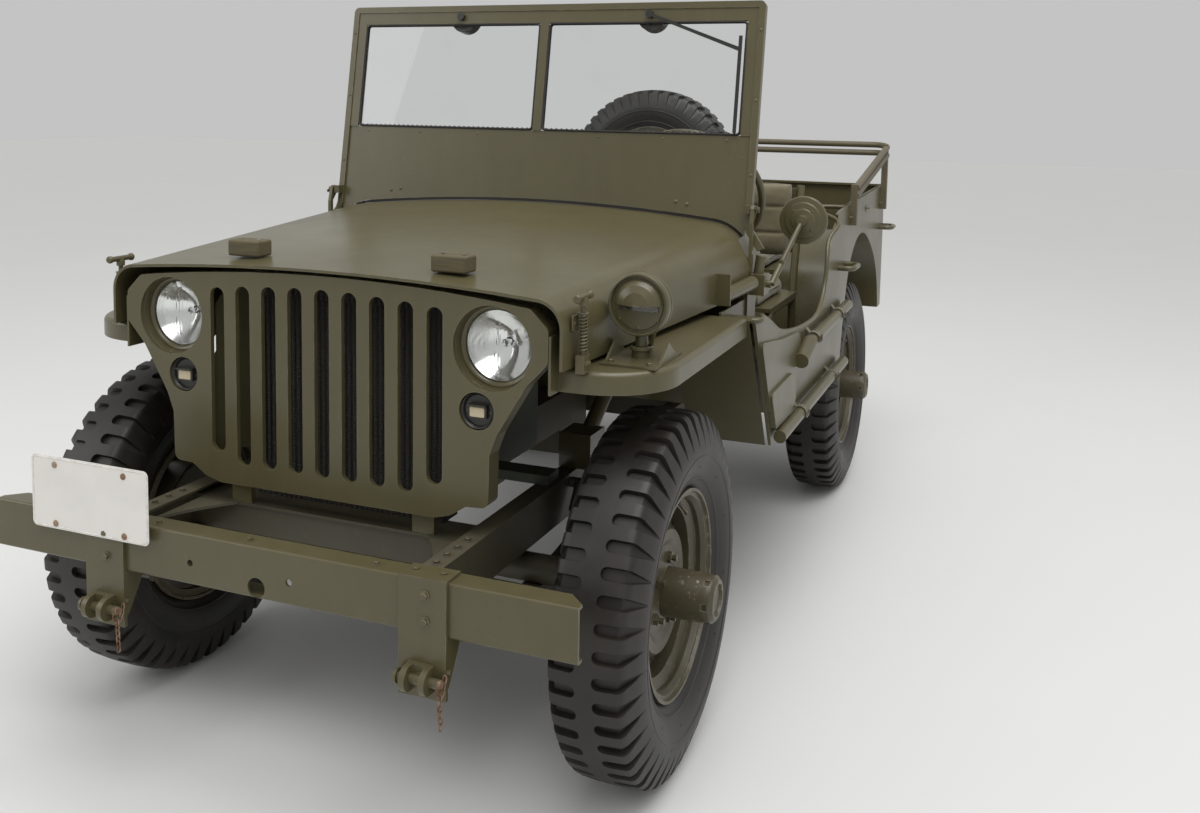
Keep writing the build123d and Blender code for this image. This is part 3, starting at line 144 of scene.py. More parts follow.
def buildEdgeWear():
    # light rubbed edges: where the rounded normal leaves the face's own, broken up by noise
    group, given, result = newGroup("edgeWear", {"Radius": 0.004, "Scale": 30, "Amount": 0.5}, ["Mask"])
    rounded = addNode("ShaderNodeBevel", samples=4)
    feed(rounded.inputs["Radius"], given["Radius"])
    dot = addNode("ShaderNodeVectorMath", operation="DOT_PRODUCT")
    feed(dot.inputs[0], rounded.outputs[0])
    feed(dot.inputs[1], addNode("ShaderNodeNewGeometry").outputs["Normal"])
    edge = rampNode(mathNode("SUBTRACT", 1, dot.outputs["Value"]), 0.02, 0.22)
    patch = rampNode(noiseNode(given["Scale"], 6, 0.65), 0.42, 0.62)
    feed(result["Mask"], times(edge, patch, given["Amount"]))
    return group


def buildDustFilm():
    # pale dust that lies on faces looking up
    group, given, result = newGroup("dustFilm", {"Scale": 3, "Amount": 0.3}, ["Mask"])
    normal = splitAxes(addNode("ShaderNodeNewGeometry").outputs["Normal"])
    up = rampNode(normal["Z"], 0.1, 1)
    cloud = rampNode(noiseNode(given["Scale"], 8), 0.3, 0.75)
    feed(result["Mask"], times(up, cloud, given["Amount"]))
    return group


def buildSprayedPaint():
    # hand-sprayed military paint: cloudy tone, fine orange peel and a few rubbed streaks
    group, given, result = newGroup("sprayedPaint", {
        "Paint": (0.1, 0.09, 0.05, 1), "Tone": 0.2, "Cloud Scale": 2.5, "Roughness": 0.45, "Spread": 0.22,
    }, ["Color", "Roughness", "Height"])
    cloud = noiseNode(given["Cloud Scale"], 6)
    runs = noiseNode(3, 5, squeeze=(9, 9, 1.6))
    level = rampNode(plus(times(cloud, 0.65), times(runs, 0.35)), 0.3, 0.7)
    dark = mixColour(1, given["Paint"], (0.62, 0.6, 0.56), "MULTIPLY")
    feed(result["Color"], mixColour(times(level, given["Tone"]), given["Paint"], dark))
    uneven = times(mathNode("SUBTRACT", cloud, 0.5), given["Spread"])
    feed(result["Roughness"], plus(given["Roughness"], uneven))
    peel, wave = noiseNode(420, 2, 0.5), noiseNode(9, 3, 0.5)
    feed(result["Height"], plus(times(peel, 0.22), wave))
    return group


def buildPaintChips():
    # small knocks and scratches in the paint, away from the edges
    group, given, result = newGroup("paintChips", {"Scale": 60, "Amount": 0.5}, ["Mask"])
    fine = rampNode(noiseNode(given["Scale"], 4, 0.7), 0.60, 0.65)
    area = rampNode(noiseNode(8, 3), 0.42, 0.62)
    scratch = rampNode(noiseNode(3, 3, squeeze=(40, 3, 90)), 0.74, 0.78)
    mark = mathNode("MAXIMUM", times(fine, area), times(scratch, 0.6))
    feed(result["Mask"], times(mark, given["Amount"]))
    return group


def buildPlainWeave():
    # plain woven cloth: threads over and under along all three axes, with uneven yarn
    group, given, result = newGroup("plainWeave", {"Pitch": 0.0014, "Cloud Scale": 7}, ["Height", "Tone"])
    place = splitAxes(objectSpace())
    turns = mathNode("DIVIDE", pi, given["Pitch"])
    x, y, z = (mathNode("SINE", times(place[axis], turns)) for axis in "XYZ")
    crossed = plus(times(x, y), plus(times(y, z), times(z, x)))
    height = plus(times(crossed, 0.5), noiseNode(300, 3))
    cloud = rampNode(noiseNode(given["Cloud Scale"], 7, 0.62), 0.25, 0.8)
    feed(result["Height"], height)
    feed(result["Tone"], plus(times(cloud, 0.5), times(height, 0.14)))
    return group


edgeWear = buildEdgeWear()
dustFilm = buildDustFilm()
sprayedPaint = buildSprayedPaint()
paintChips = buildPaintChips()
plainWeave = buildPlainWeave()
print("shader groups ready")

materials = {}


def startMaterial(name):
    materials[name] = bpy.data.materials.new(name)
    materials[name].use_nodes = True
    graph["tree"] = materials[name].node_tree


def placeGroup(group, **values):
    node = addNode("ShaderNodeGroup", node_tree=group)
    for label, value in values.items():
        feed(node.inputs[label], value)
    return node.outputs


def shade(bump=None, **sockets):
    # fills the shader's sockets by name, and adds the bump as (height, strength, distance)
    shader = graph["tree"].nodes["Principled BSDF"]
    for label, value in sockets.items():
        feed(shader.inputs[label.replace("_", " ")], value)
    if bump:
        node = addNode("ShaderNodeBump")
        for label, value in zip(("Height", "Strength", "Distance"), bump):
            feed(node.inputs[label], value)
        feed(shader.inputs["Normal"], node.outputs[0])


def darker(colour, share):
    return tuple(level * share for level in colour)


paintLook = {
    # paint colour, tone, roughness, wear, bare colour, chips, dust
    "bodyPaint": ((0.092, 0.080, 0.038), 0.45, 0.31, 0.55, (0.24, 0.21, 0.14), 0.08, 0.05),
    "chassisPaint": ((0.058, 0.052, 0.030), 0.5, 0.50, 0.5, (0.14, 0.11, 0.07), 0.25, 0.2),
    "wheelPaint": ((0.066, 0.056, 0.030), 0.5, 0.40, 0.9, (0.36, 0.31, 0.22), 0.9, 0.10),
    "enginePaint": ((0.075, 0.085, 0.060), 0.5, 0.60, 0.4, (0.15, 0.13, 0.1), 0.2, 0.2),
    "blackPaint": ((0.016, 0.016, 0.014), 0.3, 0.36, 0.5, (0.10, 0.09, 0.07), 0.15, 0.12),
    "bowPaint": ((0.105, 0.088, 0.050), 0.5, 0.50, 0.8, (0.27, 0.21, 0.13), 0.4, 0.15),
}
hubChips = {"from": 0.672, "to": 0.700, "elsewhere": 0.2}  # metres from the middle of the car


def paintMaterial(name, colour, tone, rough, wear, bare, chips, dust):
    startMaterial(name)
    coat = placeGroup(sprayedPaint, Paint=colour, Tone=tone, Roughness=rough)
    worn = placeGroup(edgeWear, Amount=wear)["Mask"]
    chipMask = placeGroup(paintChips, Amount=chips)["Mask"]
    film = placeGroup(dustFilm, Amount=dust)["Mask"]
    if name == "wheelPaint":  # the hub barrels stand out past the rims and take most of the knocks
        outward = mathNode("ABSOLUTE", splitAxes(objectSpace())["X"])
        hub = times(rampNode(outward, hubChips["from"], hubChips["to"]), 1 - hubChips["elsewhere"])
        chipMask = times(chipMask, plus(hub, hubChips["elsewhere"]))
    bareMask = mathNode("MAXIMUM", worn, chipMask)
    mixed = mixColour(film, mixColour(bareMask, coat["Color"], bare), (0.30, 0.26, 0.19))
    shade((coat["Height"], 0.22, 0.0006), Base_Color=mixed, Roughness=coat["Roughness"],
          Metallic=times(bareMask, 0.35))


rubberLook = {
    # dark tone, pale tone, roughness, dust
    "tyreRubber": ((0.008, 0.007, 0.006), (0.020, 0.016, 0.012), 0.36, 0.07),
    "sealRubber": ((0.010, 0.009, 0.008), (0.020, 0.018, 0.015), 0.55, 0.10),
}


def rubberMaterial(name, darkTone, paleTone, rough, dust):
    startMaterial(name)
    cloud = noiseNode(9, 8)
    film = placeGroup(dustFilm, Scale=5, Amount=dust)["Mask"]
    colour = mixColour(rampNode(cloud, 0.35, 0.7), darkTone, paleTone)
    shade((noiseNode(520, 3), 0.25, 0.0005), Base_Color=mixColour(film, colour, (0.10, 0.085, 0.065)),
          Roughness=plus(times(cloud, 0.25), rough))


glassLook = {
    # colour, roughness, index of refraction
    "clearGlass": ((0.96, 0.98, 0.97), 0, 1.25),
    "lampGlass": ((0.97, 0.98, 0.98), 0.01, 1.45),
    "redGlass": ((0.55, 0.03, 0.02), 0.03, 1.45),
}


def glassMaterial(name, colour, rough, index):
    startMaterial(name)
    film = rampNode(noiseNode(6, 6), 0.45, 0.9)
    shade(Base_Color=mixColour(times(film, 0.25), colour, darker(colour, 0.8)),
          Roughness=plus(times(film, 0.05), rough), Transmission_Weight=1, IOR=index)


metalLook = {
    # dark tone, pale tone, metallic, roughness, scale of the patches
    "reflector": ((0.80, 0.80, 0.78), (0.93, 0.93, 0.91), 1, 0.06, 9),
    "wornSteel": ((0.14, 0.10, 0.07), (0.30, 0.27, 0.23), 0.8, 0.42, 14),
    "rustySteel": ((0.16, 0.075, 0.035), (0.33, 0.24, 0.17), 0.55, 0.5, 40),
}


def metalMaterial(name, darkTone, paleTone, metallic, rough, scale):
    startMaterial(name)
    pale = rampNode(noiseNode(scale, 8, 0.65), 0.38, 0.66)
    shade((noiseNode(scale * 18, 4), 0.2, 0.0006), Base_Color=mixColour(pale, darkTone, paleTone),
          Metallic=metallic, Roughness=mathNode("SUBTRACT", rough + 0.15, times(pale, 0.2)))


clothLook = {
    # dark tone, pale tone, pitch of the threads in metres
    "seatCanvas": ((0.105, 0.090, 0.048), (0.185, 0.160, 0.092), 0.0014),
    "strapWeb": ((0.090, 0.078, 0.042), (0.160, 0.138, 0.080), 0.0010),
}


def clothMaterial(name, darkTone, paleTone, pitch):
    startMaterial(name)
    weave = placeGroup(plainWeave, Pitch=pitch)
    film = placeGroup(dustFilm, Scale=6, Amount=0.2)["Mask"]
    colour = mixColour(film, mixColour(weave["Tone"], darkTone, paleTone), (0.30, 0.26, 0.18))
    shade((weave["Height"], 0.5, 0.0007), Base_Color=colour, Roughness=0.88, Sheen_Weight=0.25)


enamelLook = {
    # tone, colour of the chipped edges
    "paleEnamel": ((0.72, 0.70, 0.66), (0.20, 0.13, 0.08)),
    "frostedLens": ((0.52, 0.44, 0.30), (0.10, 0.08, 0.05)),
    "dialFace": ((0.012, 0.012, 0.012), (0.05, 0.05, 0.045)),
    "dialMark": ((0.70, 0.68, 0.60), (0.5, 0.48, 0.4)),
}


def enamelMaterial(name, tone, chipped):
    startMaterial(name)
    worn = placeGroup(edgeWear, Radius=0.002, Scale=60, Amount=0.7)["Mask"]
    cloud = rampNode(noiseNode(14, 6), 0.3, 0.8)
    colour = mixColour(times(cloud, 0.35), tone, darker(tone, 0.82))
    shade(Base_Color=mixColour(worn, colour, chipped), Roughness=plus(times(cloud, 0.15), 0.28))


# painted blocks: the grain shows through the olive coat, and the corners are rubbed to bare wood
woodLook = {"dark": (0.072, 0.062, 0.032), "pale": (0.112, 0.092, 0.046), "bare": (0.26, 0.17, 0.09)}


def woodMaterial(name):
    startMaterial(name)
    grain = noiseNode(2, 6, squeeze=(6, 120, 120))
    worn = placeGroup(edgeWear, Radius=0.005, Scale=45, Amount=0.8)["Mask"]
    colour = mixColour(rampNode(grain, 0.35, 0.65), woodLook["dark"], woodLook["pale"])
    shade((grain, 0.5, 0.001), Base_Color=mixColour(worn, colour, woodLook["bare"]),
          Roughness=rampNode(grain, -0.9, 1.3))


# thin fins across flat tubes, with their pitches in metres, and the tones of the painted shade in the grooves
# and the painted highlight on the crests
coreLook = {"fins": 0.004, "tubes": 0.013, "dark": (0.006, 0.006, 0.005), "pale": (0.045, 0.040, 0.030)}


def radiatorMaterial(name):
    startMaterial(name)
    place = splitAxes(objectSpace())
    fins = mathNode("SINE", times(place["Z"], tau / coreLook["fins"]))
    tubes = mathNode("SINE", times(place["X"], tau / coreLook["tubes"]))
    height = plus(times(fins, 0.4), tubes)
    cloud = noiseNode(12, 5)
    # the colour follows the height of the fins and tubes: painted shade down in the grooves and painted
    # highlight on the crests, mixed with a random cloudy tone
    tone = plus(times(rampNode(height, -1, 1.2), 0.6), times(cloud, 0.4))
    shade((height, 0.8, 0.002), Base_Color=mixColour(tone, coreLook["dark"], coreLook["pale"]),
          Roughness=rampNode(cloud, -0.4, 1.4))


for build, look in ((paintMaterial, paintLook), (rubberMaterial, rubberLook), (glassMaterial, glassLook),
                    (metalMaterial, metalLook), (clothMaterial, clothLook), (enamelMaterial, enamelLook)):
    for name, values in look.items():
        build(name, *values)
woodMaterial("paintedWood")
radiatorMaterial("radiatorCore")
print("materials ready:", len(materials))

slotFinish = {
    "body_paint": "bodyPaint", "chassis_paint": "chassisPaint", "wheel_paint": "wheelPaint",
    "engine_paint": "enginePaint", "black_paint": "blackPaint", "worn_steel": "wornSteel",
    "top_bow_paint": "bowPaint", "tyre_rubber": "tyreRubber", "clear_glass": "clearGlass",
    "lamp_glass": "lampGlass", "seat_canvas": "seatCanvas", "block_wood": "paintedWood",
}
nodeFinish = {"radiator": "radiatorCore", "mirror": "bodyPaint", "pioneer_tools": "bodyPaint",
              "windshield_wipers": "blackPaint"}
finishSlot = {finish: slot for slot, finish in slotFinish.items()}
finishSlot.update({
    "sealRubber": "tyre_rubber", "redGlass": "lamp_glass", "reflector": "worn_steel",
    "rustySteel": "worn_steel", "strapWeb": "seat_canvas", "paleEnamel": "top_bow_paint",
    "dialFace": "black_paint", "dialMark": "top_bow_paint", "frostedLens": "lamp_glass",
})
slotOf = {part["node"]: part["material_slot"] for part in frame["record"]["subparts"]}
for name, piece in nodes.items():
    finish = materials[nodeFinish.get(name, slotFinish[slotOf[name]])]
    if not piece.data.materials:
        piece.data.materials.append(finish)
    for holder in piece.material_slots:
        holder.material = finish
print("frame pieces finished")

noseY = -1.1395  # the front axle, metres from the middle of the car
sideways, backward, forward, upward = (1, 0, 0), (0, 1, 0), (0, -1, 0), (0, 0, 1)


def spot(x, u, z):
    # millimetres across, behind the front axle and up, to the frame's metres
    return Vector((x * 0.001, noseY + u * 0.001, z * 0.001))


def circle(radius, count, start=0):
    angles = [start + tau * k / count for k in range(count)]
    return [(radius * cos(angle), radius * sin(angle)) for angle in angles]


def crossFrame(axis):
    axis = Vector(axis).normalized()
    side = axis.cross(Vector(upward))
    if side.length < 0.1:
        side = Vector(sideways)
    side.normalize()
    return axis, side, axis.cross(side)


def placed(point):
    return spot(*point) if isinstance(point, tuple) else point


def skinRings(mesh, rings):
    # faces from ring to ring, where a ring may also be one point
    for first, second in zip(rings, rings[1:]):
        count = max(len(first), len(second))
        for step in range(count if count > 1 else 0):
            after = (step + 1) % count
            corners = (first[step % len(first)], second[step % len(second)],
                       second[after % len(second)], first[after % len(first)])
            mesh.faces.new(tuple(dict.fromkeys(corners)))


def turnedForm(mesh, centre, profile, segments, axis=backward, phase=0):
    # profile is (distance along the axis, radius), both in millimetres
    centre = placed(centre)
    axis, side, up = crossFrame(axis)
    rings = []
    for along, radius in profile:
        middle = centre + axis * (along * 0.001)
        outline = circle(radius * 0.001, segments, phase) if radius > 0 else [(0, 0)]
        rings.append([mesh.verts.new(middle + side * a + up * b) for a, b in outline])
    skinRings(mesh, rings)


def tubeAlong(mesh, path, section, closed=False):
    # section is a list of (across, up) in millimetres, carried along the path
    count = len(path)
    rings = []
    normal = None
    for index in range(count):
        before = path[(index - 1) % count] if closed or index else path[index]
        after = path[(index + 1) % count] if closed or index < count - 1 else path[index]
        run = (after - before).normalized()
        if normal is None:
            normal = crossFrame(run)[1]
        normal = (normal - run * normal.dot(run)).normalized()
        other = run.cross(normal)
        rings.append([mesh.verts.new(path[index] + (normal * a + other * b) * 0.001) for a, b in section])
    skinRings(mesh, rings + rings[:1] if closed else rings)
    if not closed:
        mesh.faces.new(rings[0][::-1])
        mesh.faces.new(rings[-1])


def flatPlate(mesh, origin, outline, thickness, across=sideways, up=upward):
    # an outline in millimetres on a plane, with thickness along across x up
    origin = placed(origin)
    across, up = Vector(across).normalized(), Vector(up).normalized()
    push = across.cross(up).normalized() * (thickness * 0.001)
    front = [mesh.verts.new(origin + across * (a * 0.001) + up * (b * 0.001)) for a, b in outline]
    back = [mesh.verts.new(v.co + push) for v in front]
    mesh.faces.new(front[::-1])
    mesh.faces.new(back)
    skinRings(mesh, [front, back])


def roundedBox(halfWide, halfHigh, corner, steps=5):
    points = []
    for cx, cy, start in ((1, 1, 0), (-1, 1, 90), (-1, -1, 180), (1, -1, 270)):
        for k in range(steps + 1):
            angle = radians(start + 90 * k / steps)
            points.append((cx * (halfWide - corner) + corner * cos(angle),
                           cy * (halfHigh - corner) + corner * sin(angle)))
    return points


def smoothPath(points, steps):
    # a smooth curve that passes through all the points
    path = []
    last = len(points) - 1
    for index in range(last):
        a, b = points[max(index - 1, 0)], points[index]
        c, d = points[index + 1], points[min(index + 2, last)]
        for k in range(steps):
            t = k / steps
            path.append(0.5 * ((2 * b) + (c - a) * t + (2 * a - 5 * b + 4 * c - d) * t * t
                               + (3 * b - a - 3 * c + d) * t ** 3))
    path.append(points[-1].copy())
    return path


def hexBolt(mesh, place, axis, across, rise):
    radius = across / 2 / cos(radians(30))
    turnedForm(mesh, place, [(0, 0), (0, radius * 1.28), (1.3, radius * 1.28), (1.6, radius * 1.2),
                             (1.6, 0)], 20, axis)
    turnedForm(mesh, place, [(1.5, 0), (1.5, radius), (rise - 1.2, radius), (rise, radius * 0.84),
                             (rise, 0)], 6, axis, 0.3)


def domeHead(mesh, place, axis, radius):
    shape = ((0, 0), (0, 1), (0.22, 0.92), (0.42, 0.62), (0.5, 0))
    turnedForm(mesh, place, [(radius * rise, radius * share) for rise, share in shape], 14, axis)


def newMeshes(count):
    return [bmesh.new() for _ in range(count)]


def smoothFaces(mesh, data, sharp):
    # writes the mesh out with smooth faces and with sharp edges above the angle
    bmesh.ops.recalc_face_normals(mesh, faces=mesh.faces)
    for face in mesh.faces:
        face.smooth = True
    for edge in mesh.edges:
        if len(edge.link_faces) == 2:
            edge.smooth = edge.calc_face_angle(0) < radians(sharp)
    mesh.to_mesh(data)
    mesh.free()


def newObject(name, data):
    thing = bpy.data.objects.new(name, data)
    bpy.context.collection.objects.link(thing)
    return thing


def makePiece(name, mesh, finish, body="body", bevel=0, sharp=32):
    data = bpy.data.meshes.new(name)
    smoothFaces(mesh, data, sharp)
    data.materials.append(materials[finish])
    piece = newObject(name, data)
    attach(piece, body)
    if bevel:
        soften = piece.modifiers.new("soften", "BEVEL")
        soften.width = bevel * 0.001
        soften.segments = 2
        soften.limit_method = "ANGLE"
        soften.angle_limit = radians(35)
    return piece


# military tyre: staggered round-ended slots from the middle band out over the shoulder, in millimetres
tyreLook = {
    "radius": 385, "slots": 48, "bandHalf": 17, "slotHalf": 11.8, "slotDepth": 11.5, "crownDrop": 3,
    "wall": 0.8,
    "shoulder": [  # across, radius, half slot, depth
        (64, 382, 11.8, 11.5), (70, 378.5, 11.8, 11.5), (75, 372, 11.4, 11), (79, 362, 9.6, 9.8),
        (84, 349, 7.2, 7.5), (88.5, 337, 5.2, 5.5), (92, 325, 3.2, 3.2), (94, 314, 1.4, 0)],
    "side": [  # across, radius
        (94.9, 307), (94.9, 300), (94.3, 295.5), (95.2, 294), (95.2, 292), (93.8, 290.5), (92.6, 283),
        (89.6, 272), (85.6, 262), (80.6, 252), (76.6, 245.5), (77.6, 243.6), (77, 241.2), (73.8, 239.5),
        (69.5, 233), (65, 227.5), (61, 222), (57.5, 217), (56.7, 204)],
    "knobs": 24, "knobSize": 2.6, "knobRings": ((302, 94.4), (268, 87.9)),  # radius, across
}


def tyreRows():
    # one half from the middle out: (across, radius, half slot, depth)
    look = tyreLook
    band, slotHalf, depth = look["bandHalf"], look["slotHalf"], look["slotDepth"]

    def crown(across):
        return look["radius"] - look["crownDrop"] * (across / 64) ** 2

    rows = [(0, look["radius"], 2.5, 0), (band - 5, crown(band - 5), 1.8, 0)]
    for reach in (0, 0.7, 2.2, 4.5, 7.5, 11.8):  # the slot's round end
        half = sqrt(max(0, slotHalf ** 2 - (slotHalf - reach) ** 2))
        rows.append((band + reach, crown(band + reach), max(half, 1.4), depth if reach else 0))
    rows += [(across, crown(across), slotHalf, depth) for across in (38, 52)]
    return rows + look["shoulder"] + [(across, radius, 2.5, 0) for across, radius in look["side"]]


def buildTyreMesh():
    look, rows = tyreLook, tyreRows()
    inward = [Vector((0, -1))]  # the direction in which a slot is cut, at each row
    for before, after in zip(rows, rows[2:] + rows[-1:]):
        along = Vector((after[0] - before[0], after[1] - before[1])).normalized()
        inward.append(Vector((along.y, -along.x)))
    pitch, wall = tau / look["slots"], look["wall"]
    edge = pitch * look["radius"] / 2
    mesh, rings = bmesh.new(), []
    mirrored = [(-1, index) for index in range(len(rows) - 1, 0, -1)]
    for side, index in mirrored + [(1, index) for index in range(len(rows))]:
        across, radius, half, depth = rows[index]
        shift = 0.25 if index == 0 else 0.5 if side > 0 else 0
        rings.append([])
        stops = ((-edge, 0), (-half - wall, 0), (wall - half, 1), (0, 1), (half - wall, 1), (half + wall, 0))
        for slot in range(look["slots"]):
            for offset, low in stops:
                angle = (slot + shift) * pitch + offset / look["radius"]
                push = inward[index] * (depth * low)
                r = (radius + push.y) * 0.001
                place = (side * (across + push.x) * 0.001, r * cos(angle), r * sin(angle))
                rings[-1].append(mesh.verts.new(place))
    skinRings(mesh, rings + rings[:1])
    for step, (y, z) in enumerate(circle(0.001, look["knobs"], tau * 0.3 / look["knobs"])):
        radius, across = look["knobRings"][step % 2]  # small moulded knobs round both sidewalls
        for side in (1, -1):
            domeHead(mesh, Vector((side * across * 0.001, radius * y, radius * z)), (side, 0, 0),
                     look["knobSize"])
    data = bpy.data.meshes.new("militaryTyre")
    smoothFaces(mesh, data, 34)
    data.materials.append(materials["tyreRubber"])
    return data


def placeTyres():
    data = buildTyreMesh()
    for place in ("front_left", "front_right", "rear_left", "rear_right", "spare"):
        spare = place == "spare"
        name = "spare_tyre" if spare else "tyre_" + place
        low, high = (Vector(corner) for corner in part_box(name))
        piece = newObject("treaded_" + name, data)
        turn = Matrix.Rotation(pi / 2 if spare else 0, 4, "Z")
        piece.matrix_world = Matrix.Translation((low + high) / 2) @ turn
        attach(piece, "body" if spare else "wheel_" + place)
        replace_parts(piece, name)


placeTyres()
print("tyres ready")

# headlamps: a painted bowl and ring, a bright reflector with its bulb, and a fluted lens
headlampLook = {
    "x": 389, "z": 941, "face": -300, "lensRadius": 74, "lensBack": 22, "lensBulge": 9, "lensThick": 3.4,
    "flutes": 8, "fluteDepth": 1.3, "rings": 15, "steps": 72,
    # profiles as (depth behind the grille's face, radius)
    "bowl": [(34, 70), (34, 82), (60, 84), (74, 74), (90, 56), (98, 40), (104, 16), (104, 0), (100, 0),
             (94, 38), (86, 54), (70, 71), (58, 80), (36, 80), (36, 70), (34, 70)],
    "ring": [(11, 87), (15, 87), (15.4, 86), (34, 84), (34, 70), (32, 70), (30.5, 73), (27, 75.5),
             (25.6, 79), (26.5, 82.5), (12, 84), (11, 85), (11, 87)],
    "reflector": [(33, 75), (36, 72), (48, 61), (60, 48), (70, 34), (77, 20), (80, 9), (80.6, 9),
                  (77.8, 21), (71, 35), (61, 49.4), (49, 62.6), (37, 74), (33.4, 76), (33, 75)],
    "bulb": [(58, 0), (59, 5), (63, 8), (68, 8), (73, 5), (80, 5), (80, 0)],
}


def addLens(mesh, middle):
    look = headlampLook
    layers = ([], [])  # rings from the middle out: the smooth front, then the fluted back
    for fluted, layer in enumerate(layers):
        for k in range(look["rings"] + 1):
            share = k / look["rings"]
            ring = []
            for x, z in circle(look["lensRadius"] * share, look["steps"] if k else 1):
                along = look["lensBack"] + look["lensBulge"] * share ** 2
                if fluted:
                    flute = cos(x * tau / look["flutes"]) * (1 - share ** 6)
                    along += look["lensThick"] + look["fluteDepth"] * flute
                ring.append(mesh.verts.new(middle + Vector((x, along, z)) * 0.001))
            layer.append(ring)
    for rings in (*layers, [layer[-1] for layer in layers]):
        skinRings(mesh, rings)


def buildHeadlamps():
    look = headlampLook
    bowl, ring, reflector, lens, bulb = newMeshes(5)
    for side in (1, -1):
        middle = spot(side * look["x"], look["face"], look["z"])
        turnedForm(bowl, middle, look["bowl"], 56)
        turnedForm(ring, middle, look["ring"], 64)
        turnedForm(reflector, middle, look["reflector"], 64)
        turnedForm(bulb, middle, look["bulb"], 20)
        addLens(lens, middle)
    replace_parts(makePiece("headlamp_rings", ring, "bodyPaint"), "headlamps")
    makePiece("headlamp_bowls", bowl, "bodyPaint")
    makePiece("headlamp_reflectors", reflector, "reflector")
    makePiece("headlamp_bulbs", bulb, "lampGlass")
    makePiece("headlamp_lenses", lens, "lampGlass", sharp=60)


# blackout marker lamps in the grille and the lamps at the rear corners
markerLook = {"x": 357, "face": -300, "z": 814, "window": (16, 10, 3), "surround": (20, 14, 4)}
rearLampLook = {"x": 600, "u": 2610, "z": 720, "lenses": (10, -12)}


def buildMarkerLamps():
    shell, dark, glass, red = newMeshes(4)
    for side in (1, -1):
        x, face, z = side * markerLook["x"], markerLook["face"], markerLook["z"]
        middle = spot(x, face, z)
        turnedForm(shell, middle, [(11, 38), (11, 41), (14, 41), (14, 36), (44, 28), (48, 0), (46, 0),
                                   (42, 26), (16, 34), (11, 38)], 40)
        turnedForm(dark, middle, [(12, 0), (12, 30), (7.5, 32), (4.5, 35.5), (6, 37), (13, 37), (15, 34),
                                  (20, 0)], 40)
        flatPlate(glass, (x, face + 12, z - 2), roundedBox(*markerLook["window"]), 10)
        flatPlate(dark, (x, face + 12, z - 2), roundedBox(*markerLook["surround"]), 8)
        flatPlate(dark, (x, face + 13, z - 2), [(-20, 12), (20, 12), (19, 15), (-19, 15)], 16)
        for across in (-25, 25):
            domeHead(shell, (x + across, face + 12, z - 3), forward, 3)
        x, u, z = side * rearLampLook["x"], rearLampLook["u"], rearLampLook["z"]
        turnedForm(shell, (x, u, z), [(0.05, 0), (0.05, 34), (2, 36), (24, 36), (30, 34), (31, 30),
                                      (28, 28), (26, 0)], 44)
        turnedForm(dark, (x, u, z), [(25, 0), (25, 29), (30, 29), (32, 25), (32.5, 0)], 40)
        for step in rearLampLook["lenses"]:
            turnedForm(red, (x, u, z + step), [(31, 0), (31, 9), (34.5, 8), (36, 4.5), (36.4, 0)], 20)
        turnedForm(shell, (x, u, z + 25), [(30, 3), (37, 3), (37, 0)], 8)
    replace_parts(makePiece("marker_lamp_shells", shell, "bodyPaint"), "marker_lamps")
    makePiece("marker_lamp_faces", dark, "blackPaint")
    makePiece("marker_lamp_windows", glass, "frostedLens", bevel=1.2)
    makePiece("rear_lamp_lenses", red, "redGlass")


# blackout drive lamp: a groove and a clip round its face, a slit under the hood, and the bolts of its base
driveLampLook = {
    "x": 628, "u": -110, "z": 1020, "slit": [(-42, -13), (42, -13), (42, -3), (-42, -3)], "base": 910,
    "conduit": [(628, -62, 1012), (628, -40, 1006), (627, -24, 986), (622, -16, 950), (616, -14, 920),
                (612, -14, 905.5)],
}


def buildDriveLampTrim():
    look = driveLampLook
    x, u, z = look["x"], look["u"], look["z"]
    trim, slit, bolts = newMeshes(3)
    turnedForm(trim, (x, u, z), [(-27, 58), (-29.5, 58.5), (-30, 60), (-29, 62), (-25, 63.8), (-22, 64)], 64)
    turnedForm(trim, (x, u, z), [(-10, 63.5), (-9, 65.2), (-5, 65.2), (-4, 62)], 64)
    flatPlate(slit, (x, u - 24.6, z), look["slit"], 2)
    for across, rise in ((0, -46), (-40, -30), (40, -30)):
        domeHead(bolts, (x + across, u - 24, z + rise), forward, 3.4)
    hexBolt(bolts, (x, u - 8, z - 66), (0, 0, -1), 9, 6)
    for across, along in ((-40, -66), (40, -66), (-40, 66), (40, 66)):
        hexBolt(bolts, (x + across, u + along, look["base"]), upward, 11, 6)
    turnedForm(bolts, (x, u, look["base"] + 15), [(0, 21), (2, 24), (7, 24), (9, 21), (9, 20)], 24, upward)
    tubeAlong(trim, smoothPath([spot(*place) for place in look["conduit"]], 6), circle(5, 12))
    makePiece("drive_lamp_trim", trim, "bodyPaint")
    makePiece("drive_lamp_slit", slit, "lampGlass")
    makePiece("drive_lamp_bolts", bolts, "bodyPaint")


buildHeadlamps()
buildMarkerLamps()
buildDriveLampTrim()
print("lamps ready")

# bumper: bolts, towing pins with their chains, and a blank number plate
bumperLook = {"bracketFace": -523, "bracketX": 368, "bracketBolts": (536, 488), "top": 565, "topU": -492,
              "middleBolts": (-32, 254, -254), "pinU": -539, "pinZ": 386}
plateLook = {"x": -397.5, "z": 603.5, "face": -529, "size": (305, 152), "corner": 12, "straps": (-90, 90),
             "rivets": (539, 662)}


